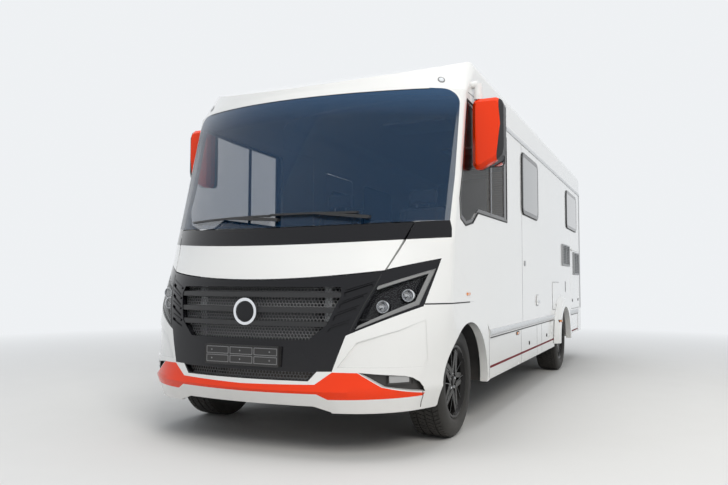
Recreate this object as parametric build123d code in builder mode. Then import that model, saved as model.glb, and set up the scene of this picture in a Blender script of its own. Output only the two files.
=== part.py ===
from build123d import *
import os
from functools import cache
from math import asin, atan2, cos, pi, radians, sin, tan

os.makedirs("parts", exist_ok=True)

# Driving dimensions, millimetres. The nose points to -Y, the vehicle's left side is +X.
length = 6990.0
body_width = 2220.0
front_overhang = 1055.0
wheelbase = 4035.0
side_top = 2350.0
roof_edge_height = 2645.0
roof_crown_height = 2715.0

# Walls and clearances
running_gap = 0.05
wall = 35.0
skin = 28.0
glass = 8.0
seat_gap = 0.3
door_gap = 6.0

# Tyres and rims, size 255/55 R 18
tyre_diameter = 737.0
tyre_width = 252.0
rim_diameter = 457.0
rim_width = 216.0
front_track = 1812.0
rear_track = 1960.0

# Side heights shared by several pieces
bumper_top = 905.0
sill_top = 685.0
sill_bottom = 620.0
skirt_bottom = 317.0
floor_thickness = 50.0
cab_floor_height = 800.0

# Places along the vehicle, counted back from the front axle
cab_end_back = 1780.0
cap_end_back = 1170.0
arch_radius = 420.0
front_arch_half, front_arch_rise, front_arch_back = 460.0, 397.0, 30.0
front_arch_depth = 55.0
flare_radius, flare_opening, flare_proud = 530.0, 390.0, 62.0

# Lines of the front, heights on the centre line and at the side
grille_line = (1050.0, 1107.0)
band_line = (1262.0, 1322.0)
screen_line = (1380.0, 1434.0)
seam_low_x = 791.0
seam_high_x = 905.0

# Worked out
half_width = body_width / 2
nose_y = -length / 2
tail_y = length / 2
front_axle_y = nose_y + front_overhang
rear_axle_y = front_axle_y + wheelbase
axle_height = tyre_diameter / 2
cab_end_y = front_axle_y + cab_end_back
cap_end_y = front_axle_y + cap_end_back
rear_wall_y = tail_y - 35.0
floor_height = sill_top
skirt_end_y = rear_axle_y - 480.0


def keep(part, name):
    part.label = name
    export_step(part, f"parts/{name}.step")


def block(low, high):
    low, high = Vector(*low), Vector(*high)
    size = high - low
    with BuildPart() as body:
        with Locations((low + high) / 2):
            Box(size.X, size.Y, size.Z)
    return body.part


def side_prism(points, low_x, high_x, rounding=0.0):
    """An outline of (y, z) points seen from the side, carried across from low_x to high_x."""
    with BuildPart() as body:
        with BuildSketch(Plane.YZ.offset(low_x)):
            with BuildLine():
                Polyline(*points, close=True)
            face = make_face()
            if rounding:
                fillet(face.vertices(), rounding)
        extrude(amount=high_x - low_x)
    return body.part


def front_prism(points, low_y=nose_y - 100, high_y=front_axle_y + 900, rounding=0.0):
    """An outline of (x, z) points seen from the front, carried from high_y forward to low_y."""
    with BuildPart() as body:
        with BuildSketch(Plane.XZ.offset(-high_y)):
            with BuildLine():
                Polyline(*points, close=True)
            face = make_face()
            if rounding:
                fillet(face.vertices(), rounding)
        extrude(amount=high_y - low_y)
    return body.part


def front_cylinder(place, radius, low_y, high_y):
    """A round bar along Y at an (x, z) place of the front view."""
    with BuildPart() as bar:
        with BuildSketch(Plane.XZ.offset(-high_y)):
            with Locations(place):
                Circle(radius)
        extrude(amount=high_y - low_y)
    return bar.part


def arc_height(line, x):
    """Height at x of the shallow arc of a front line, given as (middle, side) heights."""
    return line[0] + (line[1] - line[0]) * (x / half_width) ** 2


def arc_prism(low, low_x, high, high_x, low_y=nose_y - 100, high_y=front_axle_y + 900):
    """The region between two arcs of the front, each given by its heights in the middle and at its ends."""
    with BuildPart() as body:
        with BuildSketch(Plane.XZ.offset(-high_y)):
            with BuildLine():
                ThreePointArc((-low_x, low[1]), (0, low[0]), (low_x, low[1]))
                Line((low_x, low[1]), (high_x, high[1]))
                ThreePointArc((high_x, high[1]), (0, high[0]), (-high_x, high[1]))
                Line((-high_x, high[1]), (-low_x, low[1]))
            make_face()
        extrude(amount=high_y - low_y)
    return body.part


def both_sides(part):
    with BuildPart() as pair:
        add(part)
        add(part.mirror(Plane.YZ))
    return pair.part


def cut(part, *tools):
    with BuildPart() as body:
        add(part)
        for tool in tools:
            add(tool, mode=Mode.SUBTRACT)
    return body.part


def common(part, *tools):
    with BuildPart() as body:
        add(part)
        for tool in tools:
            add(tool, mode=Mode.INTERSECT)
    return body.part


def join(*parts):
    with BuildPart() as body:
        for part in parts:
            add(part)
    return body.part


# The nose is one smooth form, given by horizontal sections. Each row holds: height, how far its
# middle lies behind the foremost point, how much further back it is at mid_x, and the corner:
# how far in from the side, and how far back.
mid_x = 550.0
lip_rows = [
    (270, 85, 55, 150, 390),
    (400, 0, 75, 115, 444),
]
face_rows = [
    (400, 0, 75, 115, 444),
    (700, 25, 80, 60, 520),
    (905, 60, 85, 15, 585),
    (1080, 115, 95, 12, 560),
    (1300, 205, 100, 13, 505),
]
screen_rows = [
    (1300, 205, 100, 13, 505),
    (side_top, 605, 95, 25, 380),
]
cap_rows = [
    (side_top, 605, 95, 25, 380),
    (side_top + 350, 700, 130, 80, 520),
]


def nose_section(row, inset, back_y):
    height, setback, mid_set, corner_inset, corner_set = row
    front = nose_y + setback
    corner_x = half_width - corner_inset
    radius = (mid_x**2 + mid_set**2) / (2 * mid_set)
    mid_angle = asin(mid_x / radius)
    corner_angle = 2 * atan2(corner_set - mid_set, corner_x - mid_x) - mid_angle
    mid = (mid_x - inset * sin(mid_angle), front + mid_set + inset * cos(mid_angle))
    corner = (corner_x - inset * sin(corner_angle), front + corner_set + inset * cos(corner_angle))
    side_x = half_width - inset
    side = (side_x, corner[1] + (side_x - corner[0]) * tan((corner_angle + pi / 2) / 2))
    with BuildSketch(Plane.XY.offset(height)) as section:
        with BuildLine():
            crown = TangentArc((0, front + inset), mid, tangent=(1, 0))
            cheek = TangentArc(mid, corner, tangent=crown % 1)
            TangentArc(corner, side, tangent=cheek % 1)
            Polyline(side, (side_x, back_y), (0, back_y))
            mirror(about=Plane.YZ)
        make_face()
    return section.sketch


@cache
def nose_form(inset, back_y=cab_end_y):
    """The solid nose from lip to screen top, its surface moved inwards by inset."""
    with BuildPart() as form:
        for rows, straight in ((lip_rows, True), (face_rows, False), (screen_rows, True)):
            with BuildPart(mode=Mode.PRIVATE) as slab:
                for row in rows:
                    add(nose_section(row, inset, back_y))
                loft(ruled=straight)
            add(slab.part)
    return form.part


def nose_behind(depth):
    """The nose moved straight back, for recesses deeper than its corners allow an inset."""
    return nose_form(0).moved(Location((0, depth, 0)))


outer_nose = nose_form(0)
skin_shell = cut(outer_nose, nose_form(skin))
glass_shell = cut(outer_nose, nose_form(glass))


# Regions of the front, as outlines on the right half of the front view
panel_gap = door_gap


def seam_x(height):
    """Where the bonnet's slanted side seam is at a height."""
    share = (height - grille_line[1]) / (screen_line[0] - grille_line[1])
    return seam_low_x + (seam_high_x - seam_low_x) * share


bonnet_region = arc_prism(
    (grille_line[0], grille_line[1]), seam_low_x,
    (screen_line[0] - panel_gap, arc_height(screen_line, seam_high_x) - panel_gap), seam_high_x,
)
band_split = arc_prism(band_line, half_width, (1500, 1520), half_width)

bonnet_space = arc_prism(
    (grille_line[0] - panel_gap, grille_line[1] - panel_gap), seam_low_x + panel_gap,
    (screen_line[0], arc_height(screen_line, seam_high_x)), seam_high_x + panel_gap,
)
buffer_x, buffer_radius, buffer_height = 350.0, 13.0, 1080.0
lock_beam_front = nose_y + 245.0
buffers = both_sides(common(
    front_cylinder((buffer_x, buffer_height), buffer_radius, nose_y + 120, lock_beam_front - seat_gap),
    nose_form(4),
))
bonnet = join(common(skin_shell, cut(bonnet_region, band_split)), buffers)
bonnet_band = common(skin_shell, bonnet_region, band_split)

# The front pieces end at the pillars, which lean back like the windscreen
pillar_low_y, pillar_high_y = front_axle_y - 325, front_axle_y - 45


def front_zone(gap=0.0):
    return side_prism([
        (nose_y - 100, 200), (pillar_low_y - gap, 200), (pillar_low_y - gap, screen_line[1]),
        (pillar_high_y - gap, side_top + 10), (nose_y - 100, side_top + 10),
    ], -half_width - 50, half_width + 50)


# The windscreen reaches from the bonnet to the roof cap and round to the pillars
screen_low_x, screen_top_x, screen_corner = half_width - 18, half_width - 27, 110.0
with BuildPart() as screen_region:
    with BuildSketch(Plane.XZ.offset(-(front_axle_y + 900))):
        with BuildLine():
            ThreePointArc(
                (-screen_low_x, screen_line[1]), (0, screen_line[0]), (screen_low_x, screen_line[1]))
            Line((screen_low_x, screen_line[1]), (screen_top_x, side_top - seat_gap))
            Line((screen_top_x, side_top - seat_gap), (-screen_top_x, side_top - seat_gap))
            Line((-screen_top_x, side_top - seat_gap), (-screen_low_x, screen_line[1]))
        pane = make_face()
        fillet(pane.vertices().group_by(Axis.Y)[-1], screen_corner)
    extrude(amount=front_overhang + 1000)
windshield = common(glass_shell, screen_region.part, front_zone(seat_gap))

# Black corners beside the bonnet, under the windscreen
scuttle_corner = front_prism([
    (seam_x(1290) + panel_gap, 1290),
    (seam_high_x + panel_gap, arc_height(screen_line, seam_high_x) - seat_gap),
    (screen_low_x, screen_line[1] - seat_gap),
    (half_width - 12, band_line[1]),
    (half_width - 12, 1290),
])
scuttle_corners = both_sides(cut(
    common(skin_shell, scuttle_corner, band_split),
    block((0, pillar_low_y, 1200), (1300, cab_end_y, 1500)), screen_region.part,
))

# Grille and lamp outlines
lamp_tip = (1056, 1184)
lamp_low = (997, 890)
spear_start = (634, 722)
panel_low = (566, 516)
mesh_low = (432, 458)
mesh_high = (480, 514)

front_black = front_prism([
    (-seam_low_x - panel_gap, grille_line[1]), (seam_low_x + panel_gap, grille_line[1]),
    lamp_tip, lamp_low, spear_start, panel_low, mesh_high, mesh_low,
    (-mesh_low[0], mesh_low[1]), (-mesh_high[0], mesh_high[1]),
    (-panel_low[0], panel_low[1]), (-spear_start[0], spear_start[1]), (-lamp_low[0], lamp_low[1]),
    (-lamp_tip[0], lamp_tip[1]),
])
lamp_region = front_prism([
    (seam_low_x + 12, grille_line[1] + 1), (lamp_tip[0] - 2, lamp_tip[1] - 4),
    (lamp_low[0] - 2, lamp_low[1] + 3), (646, 729), (646, 752),
])
lens_region = front_prism([(772, 1012), (1036, 1122), (978, 900), (672, 752)])
lamp_box_depth = 110.0

surround_depth = 45.0
surround_shell = cut(outer_nose, nose_form(surround_depth))
mesh_region = front_prism([
    (-575, 1004), (575, 1004), (588, 955), (525, 785), (424, 694), (-424, 694), (-525, 785), (-588, 955),
])
low_mesh_region = front_prism([
    (-mesh_high[0] + 12, mesh_high[1] - 4), (mesh_high[0] - 12, mesh_high[1] - 4),
    (mesh_low[0] - 8, mesh_low[1] + 8), (-mesh_low[0] + 8, mesh_low[1] + 8),
])
plate_size = (526.0, 122.0)
plate_height = 595.0

# Slanting grooves carry the lines of the slats up towards the lamps
cheek_grooves = both_sides(common(cut(outer_nose, nose_form(11)), join(
    front_prism([(600, 972), (742, 1026), (748, 1008), (606, 946)]),
    front_prism([(585, 905), (704, 956), (709, 938), (582, 878)]),
    front_prism([(563, 836), (676, 884), (680, 866), (556, 808)]),
    front_prism([(542, 765), (646, 802), (650, 786), (530, 742)]),
)))

surround = common(surround_shell, front_black)
grille_surround = cut(
    surround, both_sides(lamp_region), mesh_region, low_mesh_region, bonnet_space, cheek_grooves)

# Slats of the grille: height and half length
slat_rows = [(958, 586), (868, 556), (786, 524)]
slat_height = 30.0
slat_shell = cut(nose_form(4), nose_form(34))
slats = join(*[
    common(slat_shell, front_prism([
        (-half, z - slat_height / 2), (half, z - slat_height / 2),
        (half, z + slat_height / 2), (-half, z + slat_height / 2),
    ]))
    for z, half in slat_rows
])
slats = cut(slats, grille_surround)

mesh_shell = cut(nose_form(surround_depth + seat_gap), nose_form(surround_depth + 8))
grille_mesh = join(
    common(mesh_shell, front_prism([
        (-600, 1020), (600, 1020), (600, 940), (540, 770), (430, 680),
        (-430, 680), (-540, 770), (-600, 940),
    ])),
    common(mesh_shell, front_prism([(-480, 525), (480, 525), (440, 450), (-440, 450)])),
)

# Round badge, left plain, in the middle of the grille
badge_radius, badge_height, badge_depth = 82.0, 855.0, 14.0
badge_y = nose_y + 50
with BuildPart() as badge:
    with BuildSketch(Plane.XZ.offset(-(badge_y))):
        with Locations((0, badge_height)):
            Circle(badge_radius)
            Circle(badge_radius - 17, mode=Mode.SUBTRACT)
    extrude(amount=badge_depth)
    with BuildSketch(Plane.XZ.offset(-(badge_y))):
        with Locations((0, badge_height)):
            Circle(badge_radius - 10)
    extrude(amount=badge_depth - 6)
    with BuildSketch(Plane.XZ.offset(-(badge_y))):
        with Locations((0, badge_height)):
            Circle(badge_radius * 0.45)
    extrude(amount=-30)
badge = cut(badge.part, slats)

# Plate holders: the front one on its flat pad, the rear one on the rear wall
with BuildPart() as plate_holder:
    with BuildSketch(Plane.XZ.offset(-(nose_y + 60))):
        with Locations((0, plate_height)):
            RectangleRounded(plate_size[0], plate_size[1], 6)
    extrude(amount=60)
    with BuildSketch(Plane.XZ.offset(-nose_y)):
        with Locations((0, plate_height)):
            RectangleRounded(plate_size[0] - 8, plate_size[1] - 8, 4)
    extrude(amount=-4, mode=Mode.SUBTRACT)
front_plate_holder = cut(plate_holder.part, outer_nose)
rear_plate_height, rear_plate_depth = 780.0, 16.0
with BuildPart() as rear_plate_holder:
    with BuildSketch(Plane.XZ.offset(-(rear_wall_y + seat_gap + rear_plate_depth))):
        with Locations((0, rear_plate_height)):
            RectangleRounded(plate_size[0], plate_size[1], 6)
    extrude(amount=rear_plate_depth)
    with BuildSketch(Plane.XZ.offset(-(rear_wall_y + seat_gap + rear_plate_depth))):
        with Locations((0, rear_plate_height)):
            RectangleRounded(plate_size[0] - 8, plate_size[1] - 8, 4)
    extrude(amount=4, mode=Mode.SUBTRACT)
plate_holders = join(front_plate_holder, rear_plate_holder.part)

# Headlamps: a black box let into the nose, a clear lens, round projectors and a light bar
lamp_wall = 15.0
housing = common(cut(outer_nose, nose_behind(lamp_box_depth)), lamp_region)
housing = cut(housing, common(cut(outer_nose, nose_behind(lamp_box_depth - lamp_wall)), lens_region))
headlamp_housings = both_sides(housing)

lens_shell = cut(outer_nose, nose_form(5))
headlamp_lenses = both_sides(common(lens_shell, lens_region))


def projector(x, z, radius, face_y, reach):
    with BuildPart() as lamp:
        with BuildSketch(Plane.XZ.offset(-face_y)):
            with Locations((x, z)):
                Circle(radius)
        extrude(amount=-reach)
    return lamp.part


projector_rows = [(800, 888, 40, 1010), (915, 955, 40, 885)]
lamp_space = common(cut(nose_form(18), nose_behind(lamp_box_depth - lamp_wall - seat_gap)), lens_region)
headlamp_projectors = both_sides(common(
    join(*[projector(x, z, r, front_axle_y - reach + 240, 200) for x, z, r, reach in projector_rows]),
    lamp_space,
))

# Light guides that follow the lamp's outer edges, right behind the lens
guide_region = front_prism([
    (760, 1030), (1060, 1150), (990, 880), (660, 730), (694, 779), (957, 920), (1003, 1090), (768, 990),
])
light_guides = both_sides(common(cut(nose_form(5 + seat_gap), nose_form(24)), guide_region, lens_region))

# Bumper: the white lower nose with its wheel arches
with BuildPart() as arch_hole:
    with BuildSketch(Plane.YZ.offset(-half_width - 200)):
        with Locations((front_axle_y + front_arch_back, axle_height)):
            Ellipse(front_arch_half, front_arch_rise)
        with Locations((rear_axle_y, axle_height)):
            Circle(arch_radius)
    extrude(amount=2 * half_width + 400)
with BuildPart() as arch_lip:
    with BuildSketch(Plane.YZ.offset(half_width - front_arch_depth)):
        with Locations((front_axle_y + front_arch_back, axle_height)):
            Ellipse(front_arch_half + 9, front_arch_rise + 9)
            Ellipse(front_arch_half - 1, front_arch_rise - 1, mode=Mode.SUBTRACT)
    extrude(amount=front_arch_depth - 8)
bumper_side = side_prism([
    (nose_y - 100, 270), (nose_y - 100, bumper_top), (front_axle_y + 110, bumper_top),
    (front_axle_y + 330, 850), (front_axle_y + 500, 735), (front_axle_y + 560, sill_bottom),
    (front_axle_y + 560, skirt_bottom), (front_axle_y + 100, 270),
], -half_width - 50, half_width + 50)
lip_cut = front_prism([(-545, 200), (-545, 276), (-445, 308), (445, 308), (545, 276), (545, 200)])
lip_corner = side_prism([
    (front_axle_y - 480, 200), (front_axle_y - 350, 372),
    (front_axle_y + 100, 372), (front_axle_y + 100, 200),
], -half_width - 50, half_width + 50)
stripe_region = front_prism([
    (-480, 385), (0, 383), (480, 385), (539, 353), (990, 358), (1000, 374), (824, 425), (701, 509),
    (567, 512), (470, 440), (0, 429), (-470, 440), (-567, 512), (-701, 509), (-824, 425),
    (-1000, 374), (-990, 358), (-539, 353),
])
fog_region = both_sides(front_prism([
    (703, 511), (925, 485), (958, 472), (986, 445), (1000, 412), (1003, 384), (826, 427),
]))

# A hollow under the spear edge: it is deepest towards the middle and runs out at the corner
scoop_pivot = (1010, front_axle_y - 480, 600)
scoop_turn = Location((0, 0, 0), (0, 0, -1.6))
turned_nose = outer_nose.moved(Location(scoop_pivot) * scoop_turn * Location(scoop_pivot).inverse())
scoop_region = front_prism([
    (594, 541), (693, 682), (796, 718), (901, 753), (1010, 810), (1018, 565), (1000, 532),
])
scoop = both_sides(common(cut(outer_nose, turned_nose), scoop_region))

bumper = join(common(skin_shell, bumper_side), both_sides(common(arch_lip.part, nose_form(6), bumper_side)))
bumper = cut(bumper, front_black, stripe_region, fog_region, scoop, lip_cut, lip_corner, arch_hole.part)
bumper_stripe = cut(common(skin_shell, stripe_region), lip_corner)

fog_shell = cut(nose_form(30), nose_form(44))
fog_plate = common(fog_shell, fog_region)
fog_lamp = both_sides(common(
    cut(nose_form(14), nose_form(29.7)),
    front_prism([(845, 437), (845, 487), (945, 478), (945, 432)]),
))
fog_lamps = cut(join(fog_plate, fog_lamp), bumper)

# Cab sides: the white corners and flanks as far as the panel seam
front_opening = front_prism([
    (-1300, 200), (1300, 200), (1300, 300), (lamp_low[0] + 1, 300), (lamp_low[0] + 1, lamp_low[1]),
    (lamp_tip[0] + 1, lamp_tip[1] + 2), (seam_low_x + 12, grille_line[1] + 6),
    (seam_x(1290) + panel_gap, 1290),
    (seam_high_x + panel_gap, 1416), (-seam_high_x - panel_gap, 1416), (-seam_x(1290) - panel_gap, 1290),
    (-seam_low_x - 12, grille_line[1] + 6), (-lamp_tip[0] - 1, lamp_tip[1] + 2),
    (-lamp_low[0] - 1, lamp_low[1]), (-lamp_low[0] - 1, 300), (-1300, 300),
])
cab_side_region = side_prism([
    (nose_y - 100, bumper_top + seat_gap), (nose_y - 100, side_top - seat_gap),
    (cab_end_y, side_top - seat_gap), (cab_end_y, sill_top), (front_axle_y + 560, sill_top),
    (front_axle_y + 500, 735 + seat_gap), (front_axle_y + 330, 850 + seat_gap),
    (front_axle_y + 110, bumper_top + seat_gap),
], -half_width - 50, half_width + 50)
cab_window = [
    (front_axle_y - 10, 2290), (front_axle_y - 140, 1760), (front_axle_y - 200, 1590),
    (front_axle_y - 180, 1460), (front_axle_y - 60, 1422), (front_axle_y + 120, 1455),
    (front_axle_y + 260, 1536), (front_axle_y + 1170, 1545), (front_axle_y + 1170, 2255),
    (front_axle_y + 400, 2270),
]
cab_window_hole = both_sides(side_prism(cab_window, half_width - 300, half_width + 60, 24))
cab_shell = common(skin_shell, cab_side_region)
cab_shell = cut(cab_shell, common(join(front_opening, screen_region.part), front_zone()))
cab_shell = cut(cab_shell, scuttle_corners, cab_window_hole)
cab_sides = both_sides(common(cab_shell, block((0, nose_y - 50, 0), (1300, cab_end_y, 3000))))
pane_inset = 3.0
cab_pane = side_prism(cab_window, half_width - skin, half_width + 5, 24)
cab_panes = both_sides(common(
    cab_pane,
    cut(nose_form(pane_inset), nose_form(pane_inset + 5)),
))

# Roof cap over the cab
def roof_profile(inset):
    edge = half_width - inset
    with BuildSketch(Plane.XZ.offset(-tail_y)) as profile:
        with BuildLine():
            base = Line((0, side_top - 1), (edge, side_top - 1))
            wall_line = Line((edge, side_top - 1), (edge, side_top + 190 - inset))
            shoulder = TangentArc(
                (edge, side_top + 190 - inset), (edge - 80, roof_edge_height - inset), tangent=(0, 1))
            ThreePointArc(
                (edge - 80, roof_edge_height - inset), (0, roof_crown_height - inset),
                (-edge + 80, roof_edge_height - inset))
            mirror(base, about=Plane.YZ)
            mirror(wall_line, about=Plane.YZ)
            mirror(shoulder, about=Plane.YZ)
        make_face()
    return profile.sketch


def roof_tunnel(inset, low_y, high_y):
    with BuildPart() as tunnel:
        extrude(roof_profile(inset), amount=length + 200, dir=(0, -1, 0))
    return common(tunnel.part, block((-1300, low_y, side_top), (1300, high_y, 3000)))


def cap_form(inset):
    with BuildPart() as plan:
        for row in cap_rows:
            add(nose_section(row, inset, cap_end_y))
        loft(ruled=True)
    slope = side_prism([
        (nose_y + 300, side_top), (nose_y + 300, side_top + 35 - inset),
        (nose_y + 605, side_top + 35 - inset), (front_axle_y + 140, 2605 - inset),
        (front_axle_y + 500, 2672 - inset), (cap_end_y + 1, roof_crown_height + 5 - inset),
        (cap_end_y + 1, side_top),
    ], -1300, 1300)
    return common(plan.part, slope, roof_tunnel(inset, nose_y, cap_end_y))


roof_cap = cut(cap_form(0), cap_form(skin))

# Roof of the living space, a curved sandwich with its side rails
hatch_rows = [
    (front_axle_y + 2150, 700, 500), (front_axle_y + 3600, 400, 400), (front_axle_y + 5150, 700, 500),
]
roof = cut(
    roof_tunnel(0, cap_end_y + seat_gap, rear_wall_y - wall), roof_tunnel(wall, cap_end_y, rear_wall_y))
hatch_holes = join(*[
    block((-w / 2, y - l / 2, 2500), (w / 2, y + l / 2, 2900)) for y, w, l in hatch_rows
])
roof = cut(roof, hatch_holes)
roof = cut(roof, block((-1300, cap_end_y - 10, side_top - 5), (1300, cab_end_y, side_top + seat_gap)))


def hatch(y, width, depth):
    with BuildPart() as dome:
        with BuildSketch(Plane.XY.offset(roof_crown_height + seat_gap)):
            with Locations((0, y)):
                RectangleRounded(width + 80, depth + 80, 40)
        extrude(amount=60, taper=12)
        with BuildSketch(Plane.XY.offset(roof_crown_height + seat_gap)):
            with Locations((0, y)):
                RectangleRounded(width - 10, depth - 10, 20)
        extrude(amount=-60)
    return dome.part


roof_hatches = join(*[hatch(*row) for row in hatch_rows])

# Side walls of the living space
living_windows = [(front_axle_y + 1620 + 180, front_axle_y + 2540, 1700, 2225),
                  (front_axle_y + 4600, front_axle_y + 5490, 1785, 2225)]
right_windows = [(front_axle_y + 3050, front_axle_y + 3950, 1700, 2225),
                 (front_axle_y + 4600, front_axle_y + 5490, 1785, 2225)]
garage = (front_axle_y + 4945, front_axle_y + 5770, 705, 1490)
door = (front_axle_y + 2050, front_axle_y + 2720, 700, 2230)
window_rounding = 60.0


# Barrel hinges of the doors stand on the walls' outer faces
hinge_out = 9.0
sleeve_radius, pin_radius = 7.0, 4.0
ear_length, ear_gap, leaf_width = 14.0, 0.4, 24.0


def hinge_halves(side, start, end, across):
    """A hinge between two (y, z) points; its door leaf lies along across, a (y, z) direction."""
    x = side * (half_width + hinge_out)
    span = max(end[0] - start[0], end[1] - start[1])
    along = ((end[0] - start[0]) / span, (end[1] - start[1]) / span)

    def piece(radius, low, high):
        origin = (x, start[0] + along[0] * low, start[1] + along[1] * low)
        with BuildPart() as bar:
            with BuildSketch(Plane(origin=origin, x_dir=(1, 0, 0), z_dir=(0, along[0], along[1]))):
                Circle(radius)
            extrude(amount=high - low)
        return bar.part

    def leaf(direction, low, high):
        near = (start[0] + along[0] * low, start[1] + along[1] * low)
        far = (start[0] + along[0] * high, start[1] + along[1] * high)
        root_y, root_z = (direction * across[0] * 4, direction * across[1] * 4)
        tip_y, tip_z = (direction * across[0] * leaf_width, direction * across[1] * leaf_width)
        ys = sorted((near[0] + root_y, near[0] + tip_y, far[0] + root_y, far[0] + tip_y))
        zs = sorted((near[1] + root_z, near[1] + tip_z, far[1] + root_z, far[1] + tip_z))
        xs = sorted((side * (half_width - 1), side * (half_width + 5)))
        return block((xs[0], ys[0], zs[0]), (xs[1], ys[-1], zs[-1]))

    low, high = ear_length + ear_gap, span - ear_length - ear_gap
    bore = piece(pin_radius + running_gap, 0, span)
    door_half = cut(join(piece(sleeve_radius, low, high), leaf(1, low, high)), bore)
    wall_half = join(
        piece(sleeve_radius, 0, ear_length), piece(sleeve_radius, span - ear_length, span),
        piece(pin_radius, 0, span), leaf(-1, 0, ear_length), leaf(-1, span - ear_length, span))
    return door_half, wall_half


def wall_hole(sheet, side, margin=0.0, rounding=30.0):
    low_y, high_y, low_z, high_z = sheet
    with BuildPart() as hole:
        with BuildSketch(Plane.YZ.offset(side * (half_width - wall) - (20 if side > 0 else wall + 20))):
            with Locations(((low_y + high_y) / 2, (low_z + high_z) / 2)):
                RectangleRounded(high_y - low_y + 2 * margin, high_z - low_z + 2 * margin, rounding)
        extrude(amount=wall + 40)
    return hole.part


def side_wall(side, sheets):
    inner, outer_x = sorted((side * (half_width - wall), side * half_width))
    body = block((inner, cab_end_y + seat_gap, sill_top), (outer_x, rear_wall_y - wall, side_top - seat_gap))
    return cut(body, arch_hole.part, *[wall_hole(sheet, side, m, r) for sheet, m, r in sheets])


side_wall_left = side_wall(1, [(garage, door_gap, 36)] + [(s, 0, window_rounding) for s in living_windows])
side_wall_right = side_wall(
    -1, [(garage, door_gap, 36), (door, door_gap, 46)] + [(s, 0, window_rounding) for s in right_windows])


def wall_sheet(sheet, side, low_x, high_x, rounding, margin=0.0):
    low_y, high_y, low_z, high_z = sheet
    with BuildPart() as panel:
        with BuildSketch(Plane.YZ.offset(min(side * low_x, side * high_x))):
            with Locations(((low_y + high_y) / 2, (low_z + high_z) / 2)):
                RectangleRounded(high_y - low_y + 2 * margin, high_z - low_z + 2 * margin, rounding)
        extrude(amount=high_x - low_x)
    return panel.part


window_frame = 22.0


def window_pane(sheet, side):
    return join(
        wall_sheet(sheet, side, half_width + seat_gap, half_width + 12, window_rounding + 10, window_frame),
        wall_sheet(sheet, side, half_width - wall, half_width + 1, window_rounding - 3, -3),
    )


side_windows = join(
    cab_panes, *[window_pane(s, 1) for s in living_windows], *[window_pane(s, -1) for s in right_windows])

garage_hinge_z = garage[3] + door_gap / 2
garage_hinge, garage_ears = hinge_halves(
    1, (garage[0] + 60, garage_hinge_z), (garage[1] - 60, garage_hinge_z), (0, -1))
garage_door_left = join(wall_sheet(garage, 1, half_width - wall, half_width, 30), garage_hinge)
garage_door_right = garage_door_left.mirror(Plane.YZ)
side_wall_left = join(side_wall_left, garage_ears)
side_wall_right = join(side_wall_right, garage_ears.mirror(Plane.YZ))
door_sheet = wall_sheet(door, -1, half_width - wall, half_width, 40)
door_hinge_y = door[0] - door_gap / 2
for height in (door[2] + 200, (door[2] + door[3]) / 2, door[3] - 300):
    door_hinge, door_ears = hinge_halves(-1, (door_hinge_y, height), (door_hinge_y, height + 110), (1, 0))
    door_sheet = join(door_sheet, door_hinge)
    side_wall_right = join(side_wall_right, door_ears)
door_window = (door[0] + 130, door[1] - 130, 1420, 2060)
entrance_door = cut(door_sheet, wall_hole(door_window, -1, 0, 60))
entrance_window = window_pane(door_window, -1)

# Rear wall with its bumper and lamps
with BuildPart() as rear_form:
    extrude(roof_profile(0), amount=200, dir=(0, -1, 0))
rear_top = common(rear_form.part, block((-1300, rear_wall_y - wall, side_top - 1), (1300, rear_wall_y, 3000)))
rear_wall = join(
    block((-half_width, rear_wall_y - wall, sill_top), (half_width, rear_wall_y, side_top)), rear_top)
with BuildPart() as rear_bumper:
    with BuildSketch(Plane.YZ.offset(-half_width)):
        with BuildLine():
            Polyline(
                (tail_y - 320, 372), (tail_y - 30, 372), (tail_y, 420), (tail_y, 640),
                (tail_y - 20, sill_top - seat_gap), (tail_y - 320, sill_top - seat_gap), close=True)
        make_face()
    extrude(amount=2 * half_width)
rear_bumper = cut(
    rear_bumper.part,
    block((-half_width + 30, tail_y - 400, 372 - 10), (half_width - 30, tail_y - 30, sill_top + 5)))
tail_lamps = both_sides(block(
    (half_width - 190, rear_wall_y + seat_gap, 800), (half_width - 40, rear_wall_y + 25, 1500)))

# Skirts and sill rails under the side walls
skirt_front_y = front_axle_y + 520


def skirt(side):
    inner, outer_x = sorted((side * (half_width - 25), side * (half_width - 4)))
    rail_inner, rail_outer = sorted((side * (half_width - wall + seat_gap), side * (half_width + 4)))
    front = join(
        block((inner, skirt_front_y, skirt_bottom), (outer_x, skirt_end_y, sill_bottom)),
        block((rail_inner, skirt_front_y + 40, sill_bottom),
              (rail_outer, skirt_end_y + 70, sill_top - seat_gap)))
    tail = join(
        block((inner, rear_axle_y + 440, 372), (outer_x, tail_y - 321, sill_bottom)),
        block((rail_inner, rear_axle_y + 340, sill_bottom), (rail_outer, tail_y - 321, sill_top - seat_gap)))
    return cut(join(front, tail), arch_hole.part)


skirt_left = cut(skirt(1), bumper)
skirts = both_sides(skirt_left)

# Wide flares over the rear wheels
with BuildPart() as flare_block:
    with BuildSketch(Plane.YZ.offset(half_width + seat_gap)):
        with Locations((rear_axle_y, axle_height)):
            Circle(flare_radius)
    extrude(amount=flare_proud, taper=42)
    with BuildSketch(Plane.YZ.offset(half_width)):
        with Locations((rear_axle_y, axle_height)):
            Circle(flare_opening)
    extrude(amount=flare_proud + 10, mode=Mode.SUBTRACT)
flare_cut = block((0, rear_axle_y - 900, -300), (1300, rear_axle_y + 900, 352))
arch_flares = both_sides(cut(flare_block.part, flare_cut, skirt_left))

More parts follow.
